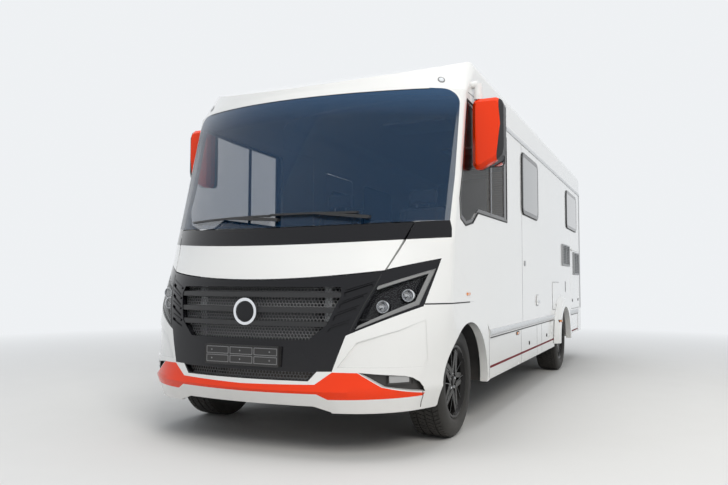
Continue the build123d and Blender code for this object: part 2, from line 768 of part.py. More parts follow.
# Floor: raised over the front wheels, low behind, with the tubs of the rear wheels
floor_step_y = front_axle_y + 900
floor_plate = side_prism([
    (front_axle_y - 130, cab_floor_height), (front_axle_y - 130, 1180), (front_axle_y - 100, 1180),
    (front_axle_y - 100, cab_floor_height + 30), (floor_step_y + 30, cab_floor_height + 30),
    (floor_step_y + 30, floor_height), (rear_wall_y - wall - seat_gap, floor_height),
    (rear_wall_y - wall - seat_gap, floor_height - floor_thickness),
    (floor_step_y, floor_height - floor_thickness), (floor_step_y, cab_floor_height),
], -half_width + wall + seat_gap, half_width - wall - seat_gap)
tub_inner_x = 640.0
with BuildPart() as tub:
    with BuildSketch(Plane.YZ.offset(tub_inner_x)):
        with Locations((rear_axle_y, axle_height)):
            Circle(arch_radius + 30)
    extrude(amount=half_width - wall - seat_gap - tub_inner_x)
with BuildPart() as tub_space:
    with BuildSketch(Plane.YZ.offset(tub_inner_x + 8)):
        with Locations((rear_axle_y, axle_height)):
            Circle(arch_radius + 22)
    extrude(amount=half_width)
tub_top = common(
    tub.part, block((0, rear_axle_y - 600, floor_height - floor_thickness), (1200, rear_axle_y + 600, 1000)))
floor = cut(join(floor_plate, both_sides(tub_top)), both_sides(tub_space.part))

# Chassis rails with cross members
rail_x, rail_size = 430.0, (60.0, 150.0)
rail_top = floor_height - floor_thickness - seat_gap
rail_front, rail_rear = front_axle_y + 940, tail_y - 420
rails = both_sides(
    block((rail_x, rail_front, rail_top - rail_size[1]), (rail_x + rail_size[0], rail_rear, rail_top)))
cross_ys = [rail_front + 60 + i * (rail_rear - rail_front - 120) / 4 for i in range(5)]
crosses = [
    block((-rail_x - 5, y - 25, rail_top - 110), (rail_x + 5, y + 25, rail_top - 30)) for y in cross_ys
]
cab_rails = both_sides(side_prism([
    (nose_y + 260, 480), (nose_y + 260, 600), (front_axle_y - 250, 600), (front_axle_y - 80, 634),
    (front_axle_y + 700, 634), (rail_front + 80, rail_top), (rail_front + 80, rail_top - 150),
    (front_axle_y + 600, 500), (front_axle_y - 60, 500), (front_axle_y - 250, 480),
], rail_x, rail_x + rail_size[0]))
front_beam = block((-600, nose_y + 200, 490), (600, nose_y + 262, 600))
lock_beam = block(
    (-500, lock_beam_front, buffer_height - 35), (500, lock_beam_front + 40, buffer_height + 20))
lock_posts = both_sides(block((440, lock_beam_front, 595), (490, lock_beam_front + 40, buffer_height)))

# Bolt holes for a tow bar, through the rear end of each rail
tow_y, tow_z = rail_rear - 175, rail_top - rail_size[1] / 2
tow_spacing, tow_hole_radius = (120.0, 80.0), 6.5
with BuildPart() as tow_drill:
    with BuildSketch(Plane.YZ.offset(-rail_x - rail_size[0] - 10)):
        with Locations((tow_y, tow_z)):
            with GridLocations(tow_spacing[0], tow_spacing[1], 2, 2):
                Circle(tow_hole_radius)
    extrude(amount=2 * (rail_x + rail_size[0] + 10))
chassis_frame = cut(join(rails, *crosses, cab_rails, front_beam, lock_beam, lock_posts), tow_drill.part)

# Front axle: cradle and lower arms that end in a ball pin under each knuckle
pin_low = (800.0, 235.0)
pin_high = (690.0, 795.0)
pin_angle = atan2(pin_low[0] - pin_high[0], pin_high[1] - pin_low[1])
cradle = join(
    block((-rail_x - 60, front_axle_y - 60, 300), (rail_x + 60, front_axle_y + 60, 380)),
    both_sides(block((rail_x, front_axle_y - 50, 380), (rail_x + 60, front_axle_y + 50, 500 - seat_gap))),
)
with BuildPart() as lower_arm:
    with BuildSketch(Plane.XY.offset(205)):
        with BuildLine():
            Polyline((rail_x, front_axle_y - 60), (pin_low[0] - 20, front_axle_y - 24),
                     (pin_low[0] + 24, front_axle_y - 24), (pin_low[0] + 24, front_axle_y + 24),
                     (pin_low[0] - 20, front_axle_y + 24), (rail_x, front_axle_y + 330),
                     (rail_x - 60, front_axle_y + 330), (rail_x - 60, front_axle_y - 60), close=True)
        make_face()
    extrude(amount=24)
arm_post = block((rail_x - 60, front_axle_y - 60, 205), (rail_x, front_axle_y + 60, 310))
rear_post = block((rail_x - 60, front_axle_y + 250, 205), (rail_x + 20, front_axle_y + 330, 500 - seat_gap))
ball_radius = 14.0


def on_pin(distance, radius, reach):
    """A round bar along the left steering axis, from a distance above the lower ball."""
    direction = (-sin(pin_angle), 0, cos(pin_angle))
    start = (pin_low[0] + direction[0] * distance, front_axle_y, pin_low[1] + direction[2] * distance)
    with BuildPart() as bar:
        with BuildSketch(Plane(origin=start, x_dir=(0, 1, 0), z_dir=direction)):
            Circle(radius)
        extrude(amount=reach)
    return bar.part


ball_pin = on_pin(-18, ball_radius, 40)
front_axle = join(
    cradle, both_sides(lower_arm.part), both_sides(arm_post), both_sides(rear_post), both_sides(ball_pin))

# Knuckles: upright, strut and stub axle
stub_radius = 35.0
stub_reach = 20.0
front_wheel_x = front_track / 2
rear_wheel_x = rear_track / 2
with BuildPart() as upright:
    with BuildSketch(Plane.YZ.offset(742)):
        with BuildLine():
            Polyline((front_axle_y - 55, 252), (front_axle_y + 55, 252), (front_axle_y + 80, axle_height),
                     (front_axle_y + 45, 500), (front_axle_y - 45, 500), (front_axle_y - 80, axle_height),
                     close=True)
        make_face()
    extrude(amount=80)
with BuildPart() as stub:
    with BuildSketch(Plane.YZ.offset(800)):
        with Locations((front_axle_y, axle_height)):
            Circle(stub_radius)
    extrude(amount=front_wheel_x + stub_reach - 800)
strut = on_pin(230, 24, 330)
knuckle_left = cut(
    join(upright.part, stub.part, strut),
    on_pin(-30, ball_radius + running_gap, 52 + running_gap),
)
knuckle_right = knuckle_left.mirror(Plane.YZ)

# Rear axle: a beam with trailing arms and stubs
with BuildPart() as rear_beam:
    with BuildSketch(Plane.YZ.offset(-780)):
        with Locations((rear_axle_y, axle_height)):
            Circle(48)
    extrude(amount=1560)
    with BuildSketch(Plane.YZ.offset(-rear_wheel_x - stub_reach)):
        with Locations((rear_axle_y, axle_height)):
            Circle(stub_radius)
    extrude(amount=2 * (rear_wheel_x + stub_reach))
trailing = both_sides(side_prism([
    (rear_axle_y - 20, axle_height - 45), (rear_axle_y + 60, axle_height - 40),
    (rear_axle_y + 60, axle_height + 40),
    (rear_axle_y - 420, rail_top - 40), (rear_axle_y - 520, rail_top - 40),
    (rear_axle_y - 520, rail_top - rail_size[1] + 20),
], rail_x + rail_size[0] + seat_gap, rail_x + rail_size[0] + 60))
rear_axle = join(rear_beam.part, trailing)

# Engine on its mounts, radiator and tanks
engine_low, engine_high = (-380, front_axle_y - 640, 330), (330, front_axle_y - 140, 980)
mount_reach = rail_x - seat_gap
engine_mounts = block((-mount_reach, front_axle_y - 440, 520), (mount_reach, front_axle_y - 360, 590))
engine = join(block(engine_low, engine_high), engine_mounts)
radiator = block((-400, nose_y + 195, 600 + seat_gap), (400, nose_y + 250, 1010))
tank_top = floor_height - floor_thickness - seat_gap
tank_rows = [
    (560, 1040, front_axle_y + 1500, front_axle_y + 2500),
    (-1040, -560, front_axle_y + 1500, front_axle_y + 2700),
]
tanks = [block((lx, ly, 400), (hx, hy, tank_top)) for lx, hx, ly, hy in tank_rows]
with BuildPart() as silencer:
    with BuildSketch(Plane.XZ.offset(-(front_axle_y + 1500))):
        with Locations((-200, rail_top - 110 - seat_gap - 80)):
            Circle(80)
    extrude(amount=-900)
underfloor_tanks = join(*tanks, silencer.part)

# Wheels
rim_radius = rim_diameter / 2
rim_half = rim_width / 2
flange_height, flange_thickness = 14.0, 9.0
barrel_thickness = 12.0
hub_radius, hub_depth = 78.0, 46.0
spoke_count, spoke_width, spoke_depth = 5, 34.0, 34.0
spoke_face = rim_half - 14.0
hub_inner = -46.0


def tyre(side, x, y):
    half = tyre_width / 2
    outer_r = tyre_diameter / 2
    bead_r = rim_radius + seat_gap
    # The straight sidewall just clears the edge of the rim's flange
    flange_x = rim_half - flange_thickness - seat_gap
    lean = flange_height / (outer_r - bead_r)
    bead_x = (flange_x - lean * half) / (1 - lean)
    right = [(bead_x, bead_r), (half, outer_r)]
    with BuildPart() as body:
        with BuildSketch(Plane.XY):
            with BuildLine():
                Polyline(*right, *[(-px, py) for px, py in reversed(right)], close=True)
            make_face()
        revolve(axis=Axis.X)
    return body.part.moved(Location((side * x, y, axle_height)))


def rim(side, x, y):
    outer_r = rim_radius + flange_height
    shelf_x = rim_half - flange_thickness
    well_r = rim_radius - barrel_thickness
    with BuildPart() as body:
        with BuildSketch(Plane.XY):
            with BuildLine():
                Polyline(
                    (-shelf_x, rim_radius), (-shelf_x, outer_r), (-rim_half, outer_r), (-rim_half, well_r),
                    (rim_half - 26, well_r - 8), (rim_half, rim_radius - 2), (rim_half, outer_r),
                    (shelf_x, outer_r), (shelf_x, rim_radius), close=True)
            make_face()
        revolve(axis=Axis.X)
        with BuildSketch(Plane.YZ.offset(spoke_face - hub_depth)):
            Circle(hub_radius)
        extrude(amount=hub_depth - 6)
        with BuildSketch(Plane.YZ.offset(spoke_face - spoke_depth)):
            with PolarLocations(0, spoke_count):
                for turn in (-1, 1):
                    with Locations(Location((130, turn * 26), -turn * 7)):
                        Rectangle(164, spoke_width)
        extrude(amount=spoke_depth)
        with BuildSketch(Plane.YZ.offset(hub_inner)):
            Circle(62)
        extrude(amount=spoke_face - hub_depth - hub_inner)
        with BuildSketch(Plane.YZ.offset(hub_inner)):
            Circle(stub_radius + running_gap)
        extrude(amount=stub_reach - hub_inner + 2, mode=Mode.SUBTRACT)
    part = body.part
    if side < 0:
        part = part.mirror(Plane.YZ)
    return part.moved(Location((side * x, y, axle_height)))


for end, x, y in (("front", front_wheel_x, front_axle_y), ("rear", rear_wheel_x, rear_axle_y)):
    for name, side in (("left", 1), ("right", -1)):
        keep(tyre(side, x, y), f"tyre_{end}_{name}")
        keep(rim(side, x, y), f"rim_{end}_{name}")

# Door mirrors on short arms that bend down from the roof cap's sides
mirror_low, mirror_high = 1822.0, 2312.0
mirror_front, mirror_split, mirror_rear = front_axle_y + 62, front_axle_y + 140, front_axle_y + 188
mirror_inner, mirror_outer = half_width + 9, half_width + 227
mirror_outline = [
    (mirror_inner, mirror_low + 30), (mirror_inner + 22, mirror_low), (mirror_inner + 60, mirror_low),
    (mirror_outer - 40, mirror_low + 62), (mirror_outer - 10, mirror_low + 92),
    (mirror_outer, mirror_low + 140), (mirror_outer, mirror_high - 60), (mirror_outer - 16, mirror_high - 18),
    (mirror_outer - 50, mirror_high), (mirror_inner + 40, mirror_high), (mirror_inner + 10, mirror_high - 14),
    (mirror_inner, mirror_high - 50),
]
with BuildPart() as mirror_shell:
    with BuildSketch(Plane.XZ.offset(-mirror_split)):
        with BuildLine():
            Polyline(*mirror_outline, close=True)
        make_face()
    extrude(amount=mirror_split - mirror_front)
    chamfer(mirror_shell.edges().group_by(Axis.Y)[0], 26)
with BuildPart() as mirror_back:
    with BuildSketch(Plane.XZ.offset(-mirror_rear)):
        with BuildLine():
            Polyline(*mirror_outline, close=True)
        face = make_face()
        offset(face, amount=-5, mode=Mode.REPLACE)
    extrude(amount=mirror_rear - mirror_split - seat_gap)
    with BuildSketch(Plane.XZ.offset(-mirror_rear)):
        with BuildLine():
            Polyline(*mirror_outline, close=True)
        face = make_face()
        offset(face, amount=-17, mode=Mode.REPLACE)
    extrude(amount=14, mode=Mode.SUBTRACT)
# A black side cheek fills the shell's outer edge, behind a slanting line
side_cheek = front_prism([
    (mirror_outer - 52, mirror_low + 40), (mirror_outer - 20, mirror_low + 300),
    (mirror_outer - 34, mirror_high + 10), (mirror_outer + 20, mirror_high + 10),
    (mirror_outer + 20, mirror_low + 40),
], mirror_front - 20, mirror_split + 20)
mirror_shells = both_sides(cut(mirror_shell.part, side_cheek))
mirror_backs = both_sides(join(mirror_back.part, common(mirror_shell.part, side_cheek)))

arm_x, arm_y, arm_radius = half_width + 45, front_axle_y + 108, 26.0
elbow_height = 2425.0
with BuildPart() as arm:
    with BuildSketch(Plane.XY.offset(mirror_high + seat_gap)):
        with Locations((arm_x, arm_y)):
            RegularPolygon(arm_radius + 4, 16)
    extrude(amount=40)
    with BuildSketch(Plane.XY.offset(mirror_high + seat_gap + 40)):
        with Locations((arm_x, arm_y)):
            RegularPolygon(arm_radius, 16)
    extrude(amount=elbow_height - mirror_high - 40)
    with BuildSketch(Plane(
            origin=(arm_x, arm_y, elbow_height - 4), x_dir=(0, 0, 1), z_dir=(-1, 0, 0))):
        RegularPolygon(arm_radius + 2, 16)
    extrude(amount=arm_x - half_width - seat_gap)
mirror_arms = both_sides(arm.part)

# Wipers parked along the foot of the windscreen
wiper_rows = [(95, -690, 1428), (660, 45, 1440)]


def wiper(pivot_x, tip_x, height):
    blade_mid = (pivot_x + tip_x) / 2
    arm_region = front_prism([
        (pivot_x - 14, height - 12), (pivot_x + 14, height - 12), (pivot_x + 14, height + 8),
        (blade_mid, height + 30), (blade_mid, height + 16),
    ])
    blade_region = front_prism([
        (tip_x, height + 14), (tip_x, height + 26), (pivot_x - 60, height + 34), (pivot_x - 60, height + 22),
    ])
    foot = front_prism([
        (pivot_x - 14, height - 12), (pivot_x + 14, height - 12),
        (pivot_x + 14, height + 8), (pivot_x - 14, height + 8),
    ])
    return join(
        common(cut(nose_form(-38), nose_form(-24)), arm_region),
        common(cut(nose_form(-26), nose_form(-seat_gap)), blade_region),
        common(cut(nose_form(-38), nose_form(-seat_gap)), foot),
    )


wipers = join(*[wiper(*row) for row in wiper_rows])

# Cab interior
dash_form = side_prism([
    (nose_y, 1345), (nose_y, 1372), (front_axle_y + 20, 1330), (front_axle_y + 110, 1240),
    (front_axle_y + 90, 1080), (front_axle_y - 100 + seat_gap, 1000), (front_axle_y - 280, 1000),
    (front_axle_y - 280, 1300),
], -half_width, half_width)
dash_space = common(nose_form(skin + 8), block((-1300, nose_y, 900), (1300, front_axle_y + 300, 1500)))
dashboard = cut(common(dash_form, dash_space), floor)
steer_x = 400.0
column_angle = radians(35)
wheel_plane = Plane(
    origin=(steer_x, front_axle_y + 215, 1330), x_dir=(1, 0, 0),
    z_dir=(0, -cos(column_angle), -sin(column_angle)))
with BuildPart() as steering:
    with BuildSketch(Plane(
            origin=wheel_plane.origin + wheel_plane.x_dir * 180,
            x_dir=wheel_plane.x_dir, z_dir=wheel_plane.y_dir)):
        RegularPolygon(17, 6)
    revolve(axis=Axis(wheel_plane.origin, wheel_plane.z_dir))
    with BuildSketch(wheel_plane):
        Rectangle(350, 36)
        Circle(60)
    extrude(amount=20, both=True)
    with BuildSketch(wheel_plane):
        Circle(30)
    extrude(amount=150)
steering_wheel = cut(steering.part, dashboard)

seat_y = front_axle_y + 760


def seat(x):
    side = side_prism([
        (seat_y - 270, cab_floor_height + 260), (seat_y - 280, cab_floor_height + 400),
        (seat_y + 180, cab_floor_height + 390),
        (seat_y + 290, cab_floor_height + 900), (seat_y + 270, cab_floor_height + 1040),
        (seat_y + 340, cab_floor_height + 1060),
        (seat_y + 390, cab_floor_height + 900), (seat_y + 300, cab_floor_height + 260),
    ], x - 250, x + 250)
    return side


seat_bases = [
    block((x - 200, seat_y - 200, cab_floor_height + 30 + seat_gap),
          (x + 200, floor_step_y + 20, cab_floor_height + 262))
    for x in (steer_x, -steer_x)
]
seats = join(seat(steer_x), seat(-steer_x), *seat_bases)

inside_x = half_width - wall - seat_gap
inside_floor = floor_height + seat_gap
furniture_rows = [
    (450, inside_x, cab_end_y + 100, cab_end_y + 1150, inside_floor, 1150),
    (450, inside_x, cab_end_y + 1300, rear_axle_y - 470, inside_floor, 2300),
    (-inside_x, -480, door[1] + 60, rear_axle_y - 470, inside_floor, 1600),
    (-inside_x, inside_x, rear_axle_y + 470, rear_axle_y + 500, inside_floor, 1500),
    (-inside_x, inside_x, rear_axle_y + 470, rear_wall_y - wall - seat_gap, 1500, 1640),
]
furniture = join(*[block((lx, ly, lz), (hx, hy, hz)) for lx, hx, ly, hy, lz, hz in furniture_rows])

pieces = {
    "bonnet": bonnet, "bonnet_band": bonnet_band, "windshield": windshield,
    "scuttle_corners": scuttle_corners,
    "grille_surround": grille_surround, "grille_slats": slats, "grille_mesh": grille_mesh, "badge": badge,
    "plate_holders": plate_holders, "headlamp_housings": headlamp_housings,
    "headlamp_lenses": headlamp_lenses, "light_guides": light_guides,
    "headlamp_projectors": headlamp_projectors, "bumper": bumper, "bumper_stripe": bumper_stripe,
    "fog_lamps": fog_lamps, "cab_sides": cab_sides, "roof_cap": roof_cap, "roof": roof,
    "roof_hatches": roof_hatches,
    "side_wall_left": side_wall_left, "side_wall_right": side_wall_right, "side_windows": side_windows,
    "garage_door_left": garage_door_left, "garage_door_right": garage_door_right,
    "entrance_door": entrance_door, "entrance_window": entrance_window, "rear_wall": rear_wall,
    "rear_bumper": rear_bumper, "tail_lamps": tail_lamps, "skirts": skirts,
    "arch_flares": arch_flares, "floor": floor, "chassis_frame": chassis_frame, "front_axle": front_axle,
    "knuckle_left": knuckle_left, "knuckle_right": knuckle_right, "rear_axle": rear_axle, "engine": engine,
    "radiator": radiator, "underfloor_tanks": underfloor_tanks,
    "mirror_shells": mirror_shells, "mirror_backs": mirror_backs, "mirror_arms": mirror_arms,
    "dashboard": dashboard, "steering_wheel": steering_wheel, "seats": seats,
    "furniture": furniture, "wipers": wipers,
}
for name, part in pieces.items():
    keep(part, name)
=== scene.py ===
# %% [markdown]
# A white motorhome, dressed step by step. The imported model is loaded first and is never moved. Each later
# step gives a piece its finish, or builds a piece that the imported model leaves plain, always in metres in the
# model's own frame: +Y runs from the nose to the tail, +X is the vehicle's left side and the ground is at
# zero.

# %% Load the frame
from functools import cache
from math import cos, hypot, pi, radians, sin

import bmesh
import bpy
from mathutils import Matrix, Vector
from mathutils.bvhtree import BVHTree


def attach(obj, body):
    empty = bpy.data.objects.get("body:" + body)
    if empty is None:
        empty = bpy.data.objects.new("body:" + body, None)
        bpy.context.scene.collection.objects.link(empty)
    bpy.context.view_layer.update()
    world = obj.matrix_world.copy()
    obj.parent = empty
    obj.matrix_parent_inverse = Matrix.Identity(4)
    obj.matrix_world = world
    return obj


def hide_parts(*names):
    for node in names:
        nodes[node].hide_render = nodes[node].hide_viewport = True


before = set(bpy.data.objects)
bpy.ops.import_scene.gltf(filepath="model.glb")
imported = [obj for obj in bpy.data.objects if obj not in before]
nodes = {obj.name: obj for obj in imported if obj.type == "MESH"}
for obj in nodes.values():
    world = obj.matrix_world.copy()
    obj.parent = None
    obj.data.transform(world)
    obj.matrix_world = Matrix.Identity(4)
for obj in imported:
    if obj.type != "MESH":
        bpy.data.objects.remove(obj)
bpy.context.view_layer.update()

# %% [markdown]
# The driving sizes. They are the vehicle's own, in metres. Later steps work their places out from them or
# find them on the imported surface.

# %% Sizes
length = 6.990
half_width = 1.110
front_overhang = 1.055
wheelbase = 4.035
front_axle_y = -length / 2 + front_overhang
rear_axle_y = front_axle_y + wheelbase
nose_y = -length / 2
tail_y = length / 2
axle_height = 0.3685
tyre_width = 0.252
rim_radius = 0.2285
side_top = 2.350
sides = ((1, "left"), (-1, "right"))


def behind(distance):
    """A place along the vehicle, as far behind the front axle as distance says."""
    return front_axle_y + distance


print("front axle at", round(front_axle_y, 3), "and rear axle at", round(rear_axle_y, 3))

# %% [markdown]
# The camera stands where the photographer stood: near the front left corner, at chest height, looking
# slightly up. Its place and lens were worked out from points of the vehicle whose real places are known, such
# as the wheels, the windscreen's corners and the plate field.

# %% Camera
def add_object(name, data):
    """Makes an object from its data and puts it in the scene."""
    item = bpy.data.objects.new(name, data)
    bpy.context.scene.collection.objects.link(item)
    return item


camera_place = Vector((2.382, -6.919, 1.024))
camera_yaw = radians(24.627)
camera_pitch = radians(3.487)
camera_roll = radians(0.203)
lens_mm = 33.54

forward = Vector((-sin(camera_yaw) * cos(camera_pitch), cos(camera_yaw) * cos(camera_pitch),
                  sin(camera_pitch)))
level_right = Vector((cos(camera_yaw), sin(camera_yaw), 0))
level_up = level_right.cross(forward)
right = cos(camera_roll) * level_right + sin(camera_roll) * level_up
up = cos(camera_roll) * level_up - sin(camera_roll) * level_right

camera_data = bpy.data.cameras.new("camera")
camera_data.lens = lens_mm
camera_data.sensor_width = 36
camera = add_object("camera", camera_data)
camera.matrix_world = Matrix.Translation(camera_place) @ Matrix((right, up, -forward)).transposed().to_4x4()
bpy.context.scene.camera = camera
bpy.context.scene.view_settings.view_transform = "Standard"
print("camera at", [round(value, 3) for value in camera_place], "with a lens of", lens_mm, "mm")

# %% [markdown]
# Every finish starts from the same shader, so one short helper makes it. Another adds a node to any tree, of
# a shader or of geometry, and fills its sockets: a value is set, and an output of another node is linked.

# %% Node and material helpers
def add_node(tree, kind, settings=None, **sockets):
    """Adds a node. A socket is given by its name or identifier, with _ for a space."""
    item = tree.nodes.new(kind)
    for name, value in (settings or {}).items():
        setattr(item, name, value)
    for name, value in sockets.items():
        found = [s for s in item.inputs if s.identifier.replace(" ", "_") == name and s.enabled]
        found = found or [s for s in item.inputs if s.name.replace(" ", "_") == name and s.enabled]
        if isinstance(value, bpy.types.NodeSocket):
            tree.links.new(value, found[0])
        else:
            found[0].default_value = value
    return item


def result(item, name=None):
    """An output of a node: the first one in use, or the one of that name."""
    return next(s for s in item.outputs if s.enabled and (name is None or s.name == name))


def output_of(tree, kind, settings=None, **sockets):
    """Adds a node and gives its first output."""
    return result(add_node(tree, kind, settings, **sockets))


def calculate(tree, operation, first, second):
    return output_of(tree, "ShaderNodeMath", {"operation": operation}, Value=first, Value_001=second)


def blend_colors(tree, share, first, second):
    return output_of(tree, "ShaderNodeMix", {"data_type": "RGBA"}, Factor=share, A=first, B=second)


def blend_values(tree, share, first, second):
    return output_of(tree, "ShaderNodeMix", {"data_type": "FLOAT"}, Factor=share, A=first, B=second)


def remap(tree, value, low, high, new_low=0.0, new_high=1.0):
    return output_of(tree, "ShaderNodeMapRange", Value=value, From_Min=low, From_Max=high,
                     To_Min=new_low, To_Max=new_high)


def shader_input(material, name):
    return material.node_tree.nodes["Principled BSDF"].inputs[name]


def make_material(name, color, roughness, metallic=0.0, coat=0.0):
    material = bpy.data.materials.new(name)
    material.use_nodes = True
    settings = {"Base Color": (*color, 1), "Roughness": roughness, "Metallic": metallic,
                "Coat Weight": coat, "Coat Roughness": 0.03}
    for label, value in settings.items():
        shader_input(material, label).default_value = value
    return material


def feed(material, name, value):
    """Links a node's output to a socket of the material's shader."""
    material.node_tree.links.new(value, shader_input(material, name))


def place_of(material):
    """The place on the surface in the object's coordinates, which are the vehicle's own."""
    return result(add_node(material.node_tree, "ShaderNodeTexCoord"), "Object")


def tell(what, *materials):
    print(what, [material.name for material in materials])


print("helpers for nodes and materials ready")

# %% [markdown]
# A studio for a large glossy vehicle needs wide soft light, so that the white body reads by gentle shading.
# The world is a pale gradient, brighter overhead, and two large area lamps light the sun's side and the top.
# A reflection sees a plain pale backdrop instead, so no lamp shows in the glossy parts. The floor is plain
# too.

# %% Light and floor
world = bpy.data.worlds.new("studio")
bpy.context.scene.world = world
world.use_nodes = True
tree = world.node_tree
tree.nodes.clear()
backdrop_color = (0.86, 0.88, 0.90, 1)
height = result(add_node(tree, "ShaderNodeSeparateXYZ", Vector=output_of(tree, "ShaderNodeTexCoord")), "Z")
ramp = add_node(tree, "ShaderNodeValToRGB", Fac=remap(tree, height, -1.0, 1.0))
low_stop, high_stop = ramp.color_ramp.elements
low_stop.position, low_stop.color = 0.45, (0.52, 0.54, 0.56, 1)
high_stop.position, high_stop.color = 0.95, (0.80, 0.86, 0.93, 1)
sky = output_of(tree, "ShaderNodeBackground", Color=result(ramp), Strength=0.62)
backdrop = output_of(tree, "ShaderNodeBackground", Color=backdrop_color)
rays = add_node(tree, "ShaderNodeLightPath").outputs
seen = calculate(tree, "MAXIMUM", rays["Is Camera Ray"], rays["Is Glossy Ray"])
mixed = output_of(tree, "ShaderNodeMixShader", Fac=seen, Shader=sky, Shader_001=backdrop)
add_node(tree, "ShaderNodeOutputWorld", Surface=mixed)


def add_lamp(name, place, target, size, watts, color):
    data = bpy.data.lights.new(name, "AREA")
    data.shape = "RECTANGLE"
    data.size, data.size_y = size
    data.energy = watts
    data.color = color
    lamp = add_object(name, data)
    aim = (Vector(target) - Vector(place)).to_track_quat("-Z", "Y")
    lamp.matrix_world = Matrix.Translation(place) @ aim.to_matrix().to_4x4()
    lamp.visible_glossy = False


add_lamp("sun_side", (7, -9, 8), (0.3, -1, 1.0), (5, 5), 700, (1.0, 0.97, 0.92))
add_lamp("overhead", (0, -1, 9), (0, 0, 0), (6, 10), 500, (1.0, 1.0, 1.0))

floor_mesh = bpy.data.meshes.new("studio_floor")
floor_mesh.from_pydata([(-60, -60, 0), (60, -60, 0), (60, 60, 0), (-60, 60, 0)], [], [(0, 1, 2, 3)])
studio_floor = add_object("studio_floor", floor_mesh)
print("studio with", len(bpy.data.lights), "lamps and a floor")

# %% [markdown]
# Four effects are shared by many finishes. Road dust gathers low on the body and thins out upwards in soft
# clouds. Grain is the fine pebbled surface of moulded plastic. Ripple is the slight waviness of a large
# painted panel. Weave is the crossing of threads in a cloth.

# %% Shared effect groups
def new_group(name, inputs, outputs):
    group = bpy.data.node_groups.new(name, "ShaderNodeTree")
    for label, kind, value in inputs:
        socket = group.interface.new_socket(label, in_out="INPUT", socket_type="NodeSocket" + kind)
        socket.default_value = value
    for label, kind in outputs:
        group.interface.new_socket(label, in_out="OUTPUT", socket_type="NodeSocket" + kind)
    return group, group.nodes.new("NodeGroupInput").outputs, group.nodes.new("NodeGroupOutput").inputs


def make_road_dust():
    group, given, put = new_group(
        "Road dust",
        [("Color", "Color", (0.8, 0.8, 0.8, 1)), ("Dust Color", "Color", (0.44, 0.39, 0.33, 1)),
         ("Amount", "Float", 0.5), ("Height", "Float", 0.6),
         ("Clean Roughness", "Float", 0.2), ("Dusty Roughness", "Float", 0.7)],
        [("Color", "Color"), ("Roughness", "Float")])
    place = result(add_node(group, "ShaderNodeTexCoord"), "Object")
    height = result(add_node(group, "ShaderNodeSeparateXYZ", Vector=place), "Z")
    clouds = output_of(group, "ShaderNodeTexNoise", Vector=place, Scale=7.0, Detail=7.0, Roughness=0.62)
    low = remap(group, calculate(group, "DIVIDE", height, given["Height"]), 1.0, 0.0)
    share = calculate(group, "MULTIPLY", calculate(group, "MULTIPLY", low, clouds), given["Amount"])
    group.links.new(blend_colors(group, share, given["Color"], given["Dust Color"]), put["Color"])
    group.links.new(blend_values(group, share, given["Clean Roughness"], given["Dusty Roughness"]),
                    put["Roughness"])
    return group


def make_grain():
    group, given, put = new_group(
        "Moulded grain", [("Scale", "Float", 900.0), ("Roughness", "Float", 0.5), ("Spread", "Float", 0.1)],
        [("Height", "Float"), ("Roughness", "Float")])
    place = result(add_node(group, "ShaderNodeTexCoord"), "Object")
    pebbles = output_of(group, "ShaderNodeTexVoronoi", Vector=place, Scale=given["Scale"])
    patches = output_of(group, "ShaderNodeTexNoise", Vector=place, Scale=14.0, Detail=4.0)
    change = calculate(group, "MULTIPLY", calculate(group, "SUBTRACT", patches, 0.5), given["Spread"])
    group.links.new(pebbles, put["Height"])
    group.links.new(calculate(group, "ADD", given["Roughness"], change), put["Roughness"])
    return group


def make_ripple():
    group, given, put = new_group(
        "Panel ripple", [("Scale", "Float", 2.4), ("Fine", "Float", 0.15)], [("Height", "Float")])
    place = result(add_node(group, "ShaderNodeTexCoord"), "Object")
    broad = output_of(group, "ShaderNodeTexNoise", Vector=place, Scale=given["Scale"], Detail=1.0)
    peel = output_of(group, "ShaderNodeTexNoise", Vector=place, Scale=420.0, Detail=1.0)
    group.links.new(calculate(group, "ADD", broad, calculate(
        group, "MULTIPLY", calculate(group, "MULTIPLY", peel, given["Fine"]), 0.01)), put["Height"])
    return group


def make_weave():
    group, given, put = new_group(
        "Thread weave", [("Scale", "Float", 700.0), ("Color", "Color", (0.2, 0.2, 0.2, 1)),
                         ("Light Color", "Color", (0.3, 0.3, 0.3, 1))],
        [("Color", "Color"), ("Height", "Float")])
    place = result(add_node(group, "ShaderNodeTexCoord"), "Object")
    waves = []
    for direction in ("X", "Z"):
        waves.append(result(add_node(group, "ShaderNodeTexWave", {"bands_direction": direction},
                                     Vector=place, Scale=given["Scale"]), "Fac"))
    threads = calculate(group, "MAXIMUM", waves[0], waves[1])
    group.links.new(threads, put["Height"])
    group.links.new(blend_colors(group, threads, given["Color"], given["Light Color"]), put["Color"])
    return group


road_dust, grain, ripple, weave = make_road_dust(), make_grain(), make_ripple(), make_weave()
print("effect groups", [group.name for group in (road_dust, grain, ripple, weave)])


def use_group(material, group, **sockets):
    return add_node(material.node_tree, "ShaderNodeGroup", {"node_tree": group}, **sockets)


def add_bump(material, height, strength, distance):
    feed(material, "Normal", output_of(
        material.node_tree, "ShaderNodeBump", Height=height, Strength=strength, Distance=distance))


def vary_roughness(material, low, high, scale, detail=2.0, top=0.7):
    """Lets noise move the roughness between two values over the surface."""
    tree = material.node_tree
    noise = output_of(tree, "ShaderNodeTexNoise", Vector=place_of(material), Scale=scale, Detail=detail)
    feed(material, "Roughness", remap(tree, noise, 0.3, top, low, high))


def add_ribs(material, direction, scale, strength, distance):
    """Gives a surface fine ribs across a direction."""
    wave = add_node(material.node_tree, "ShaderNodeTexWave", {"bands_direction": direction},
                    Vector=place_of(material), Scale=scale)
    add_bump(material, result(wave, "Fac"), strength, distance)


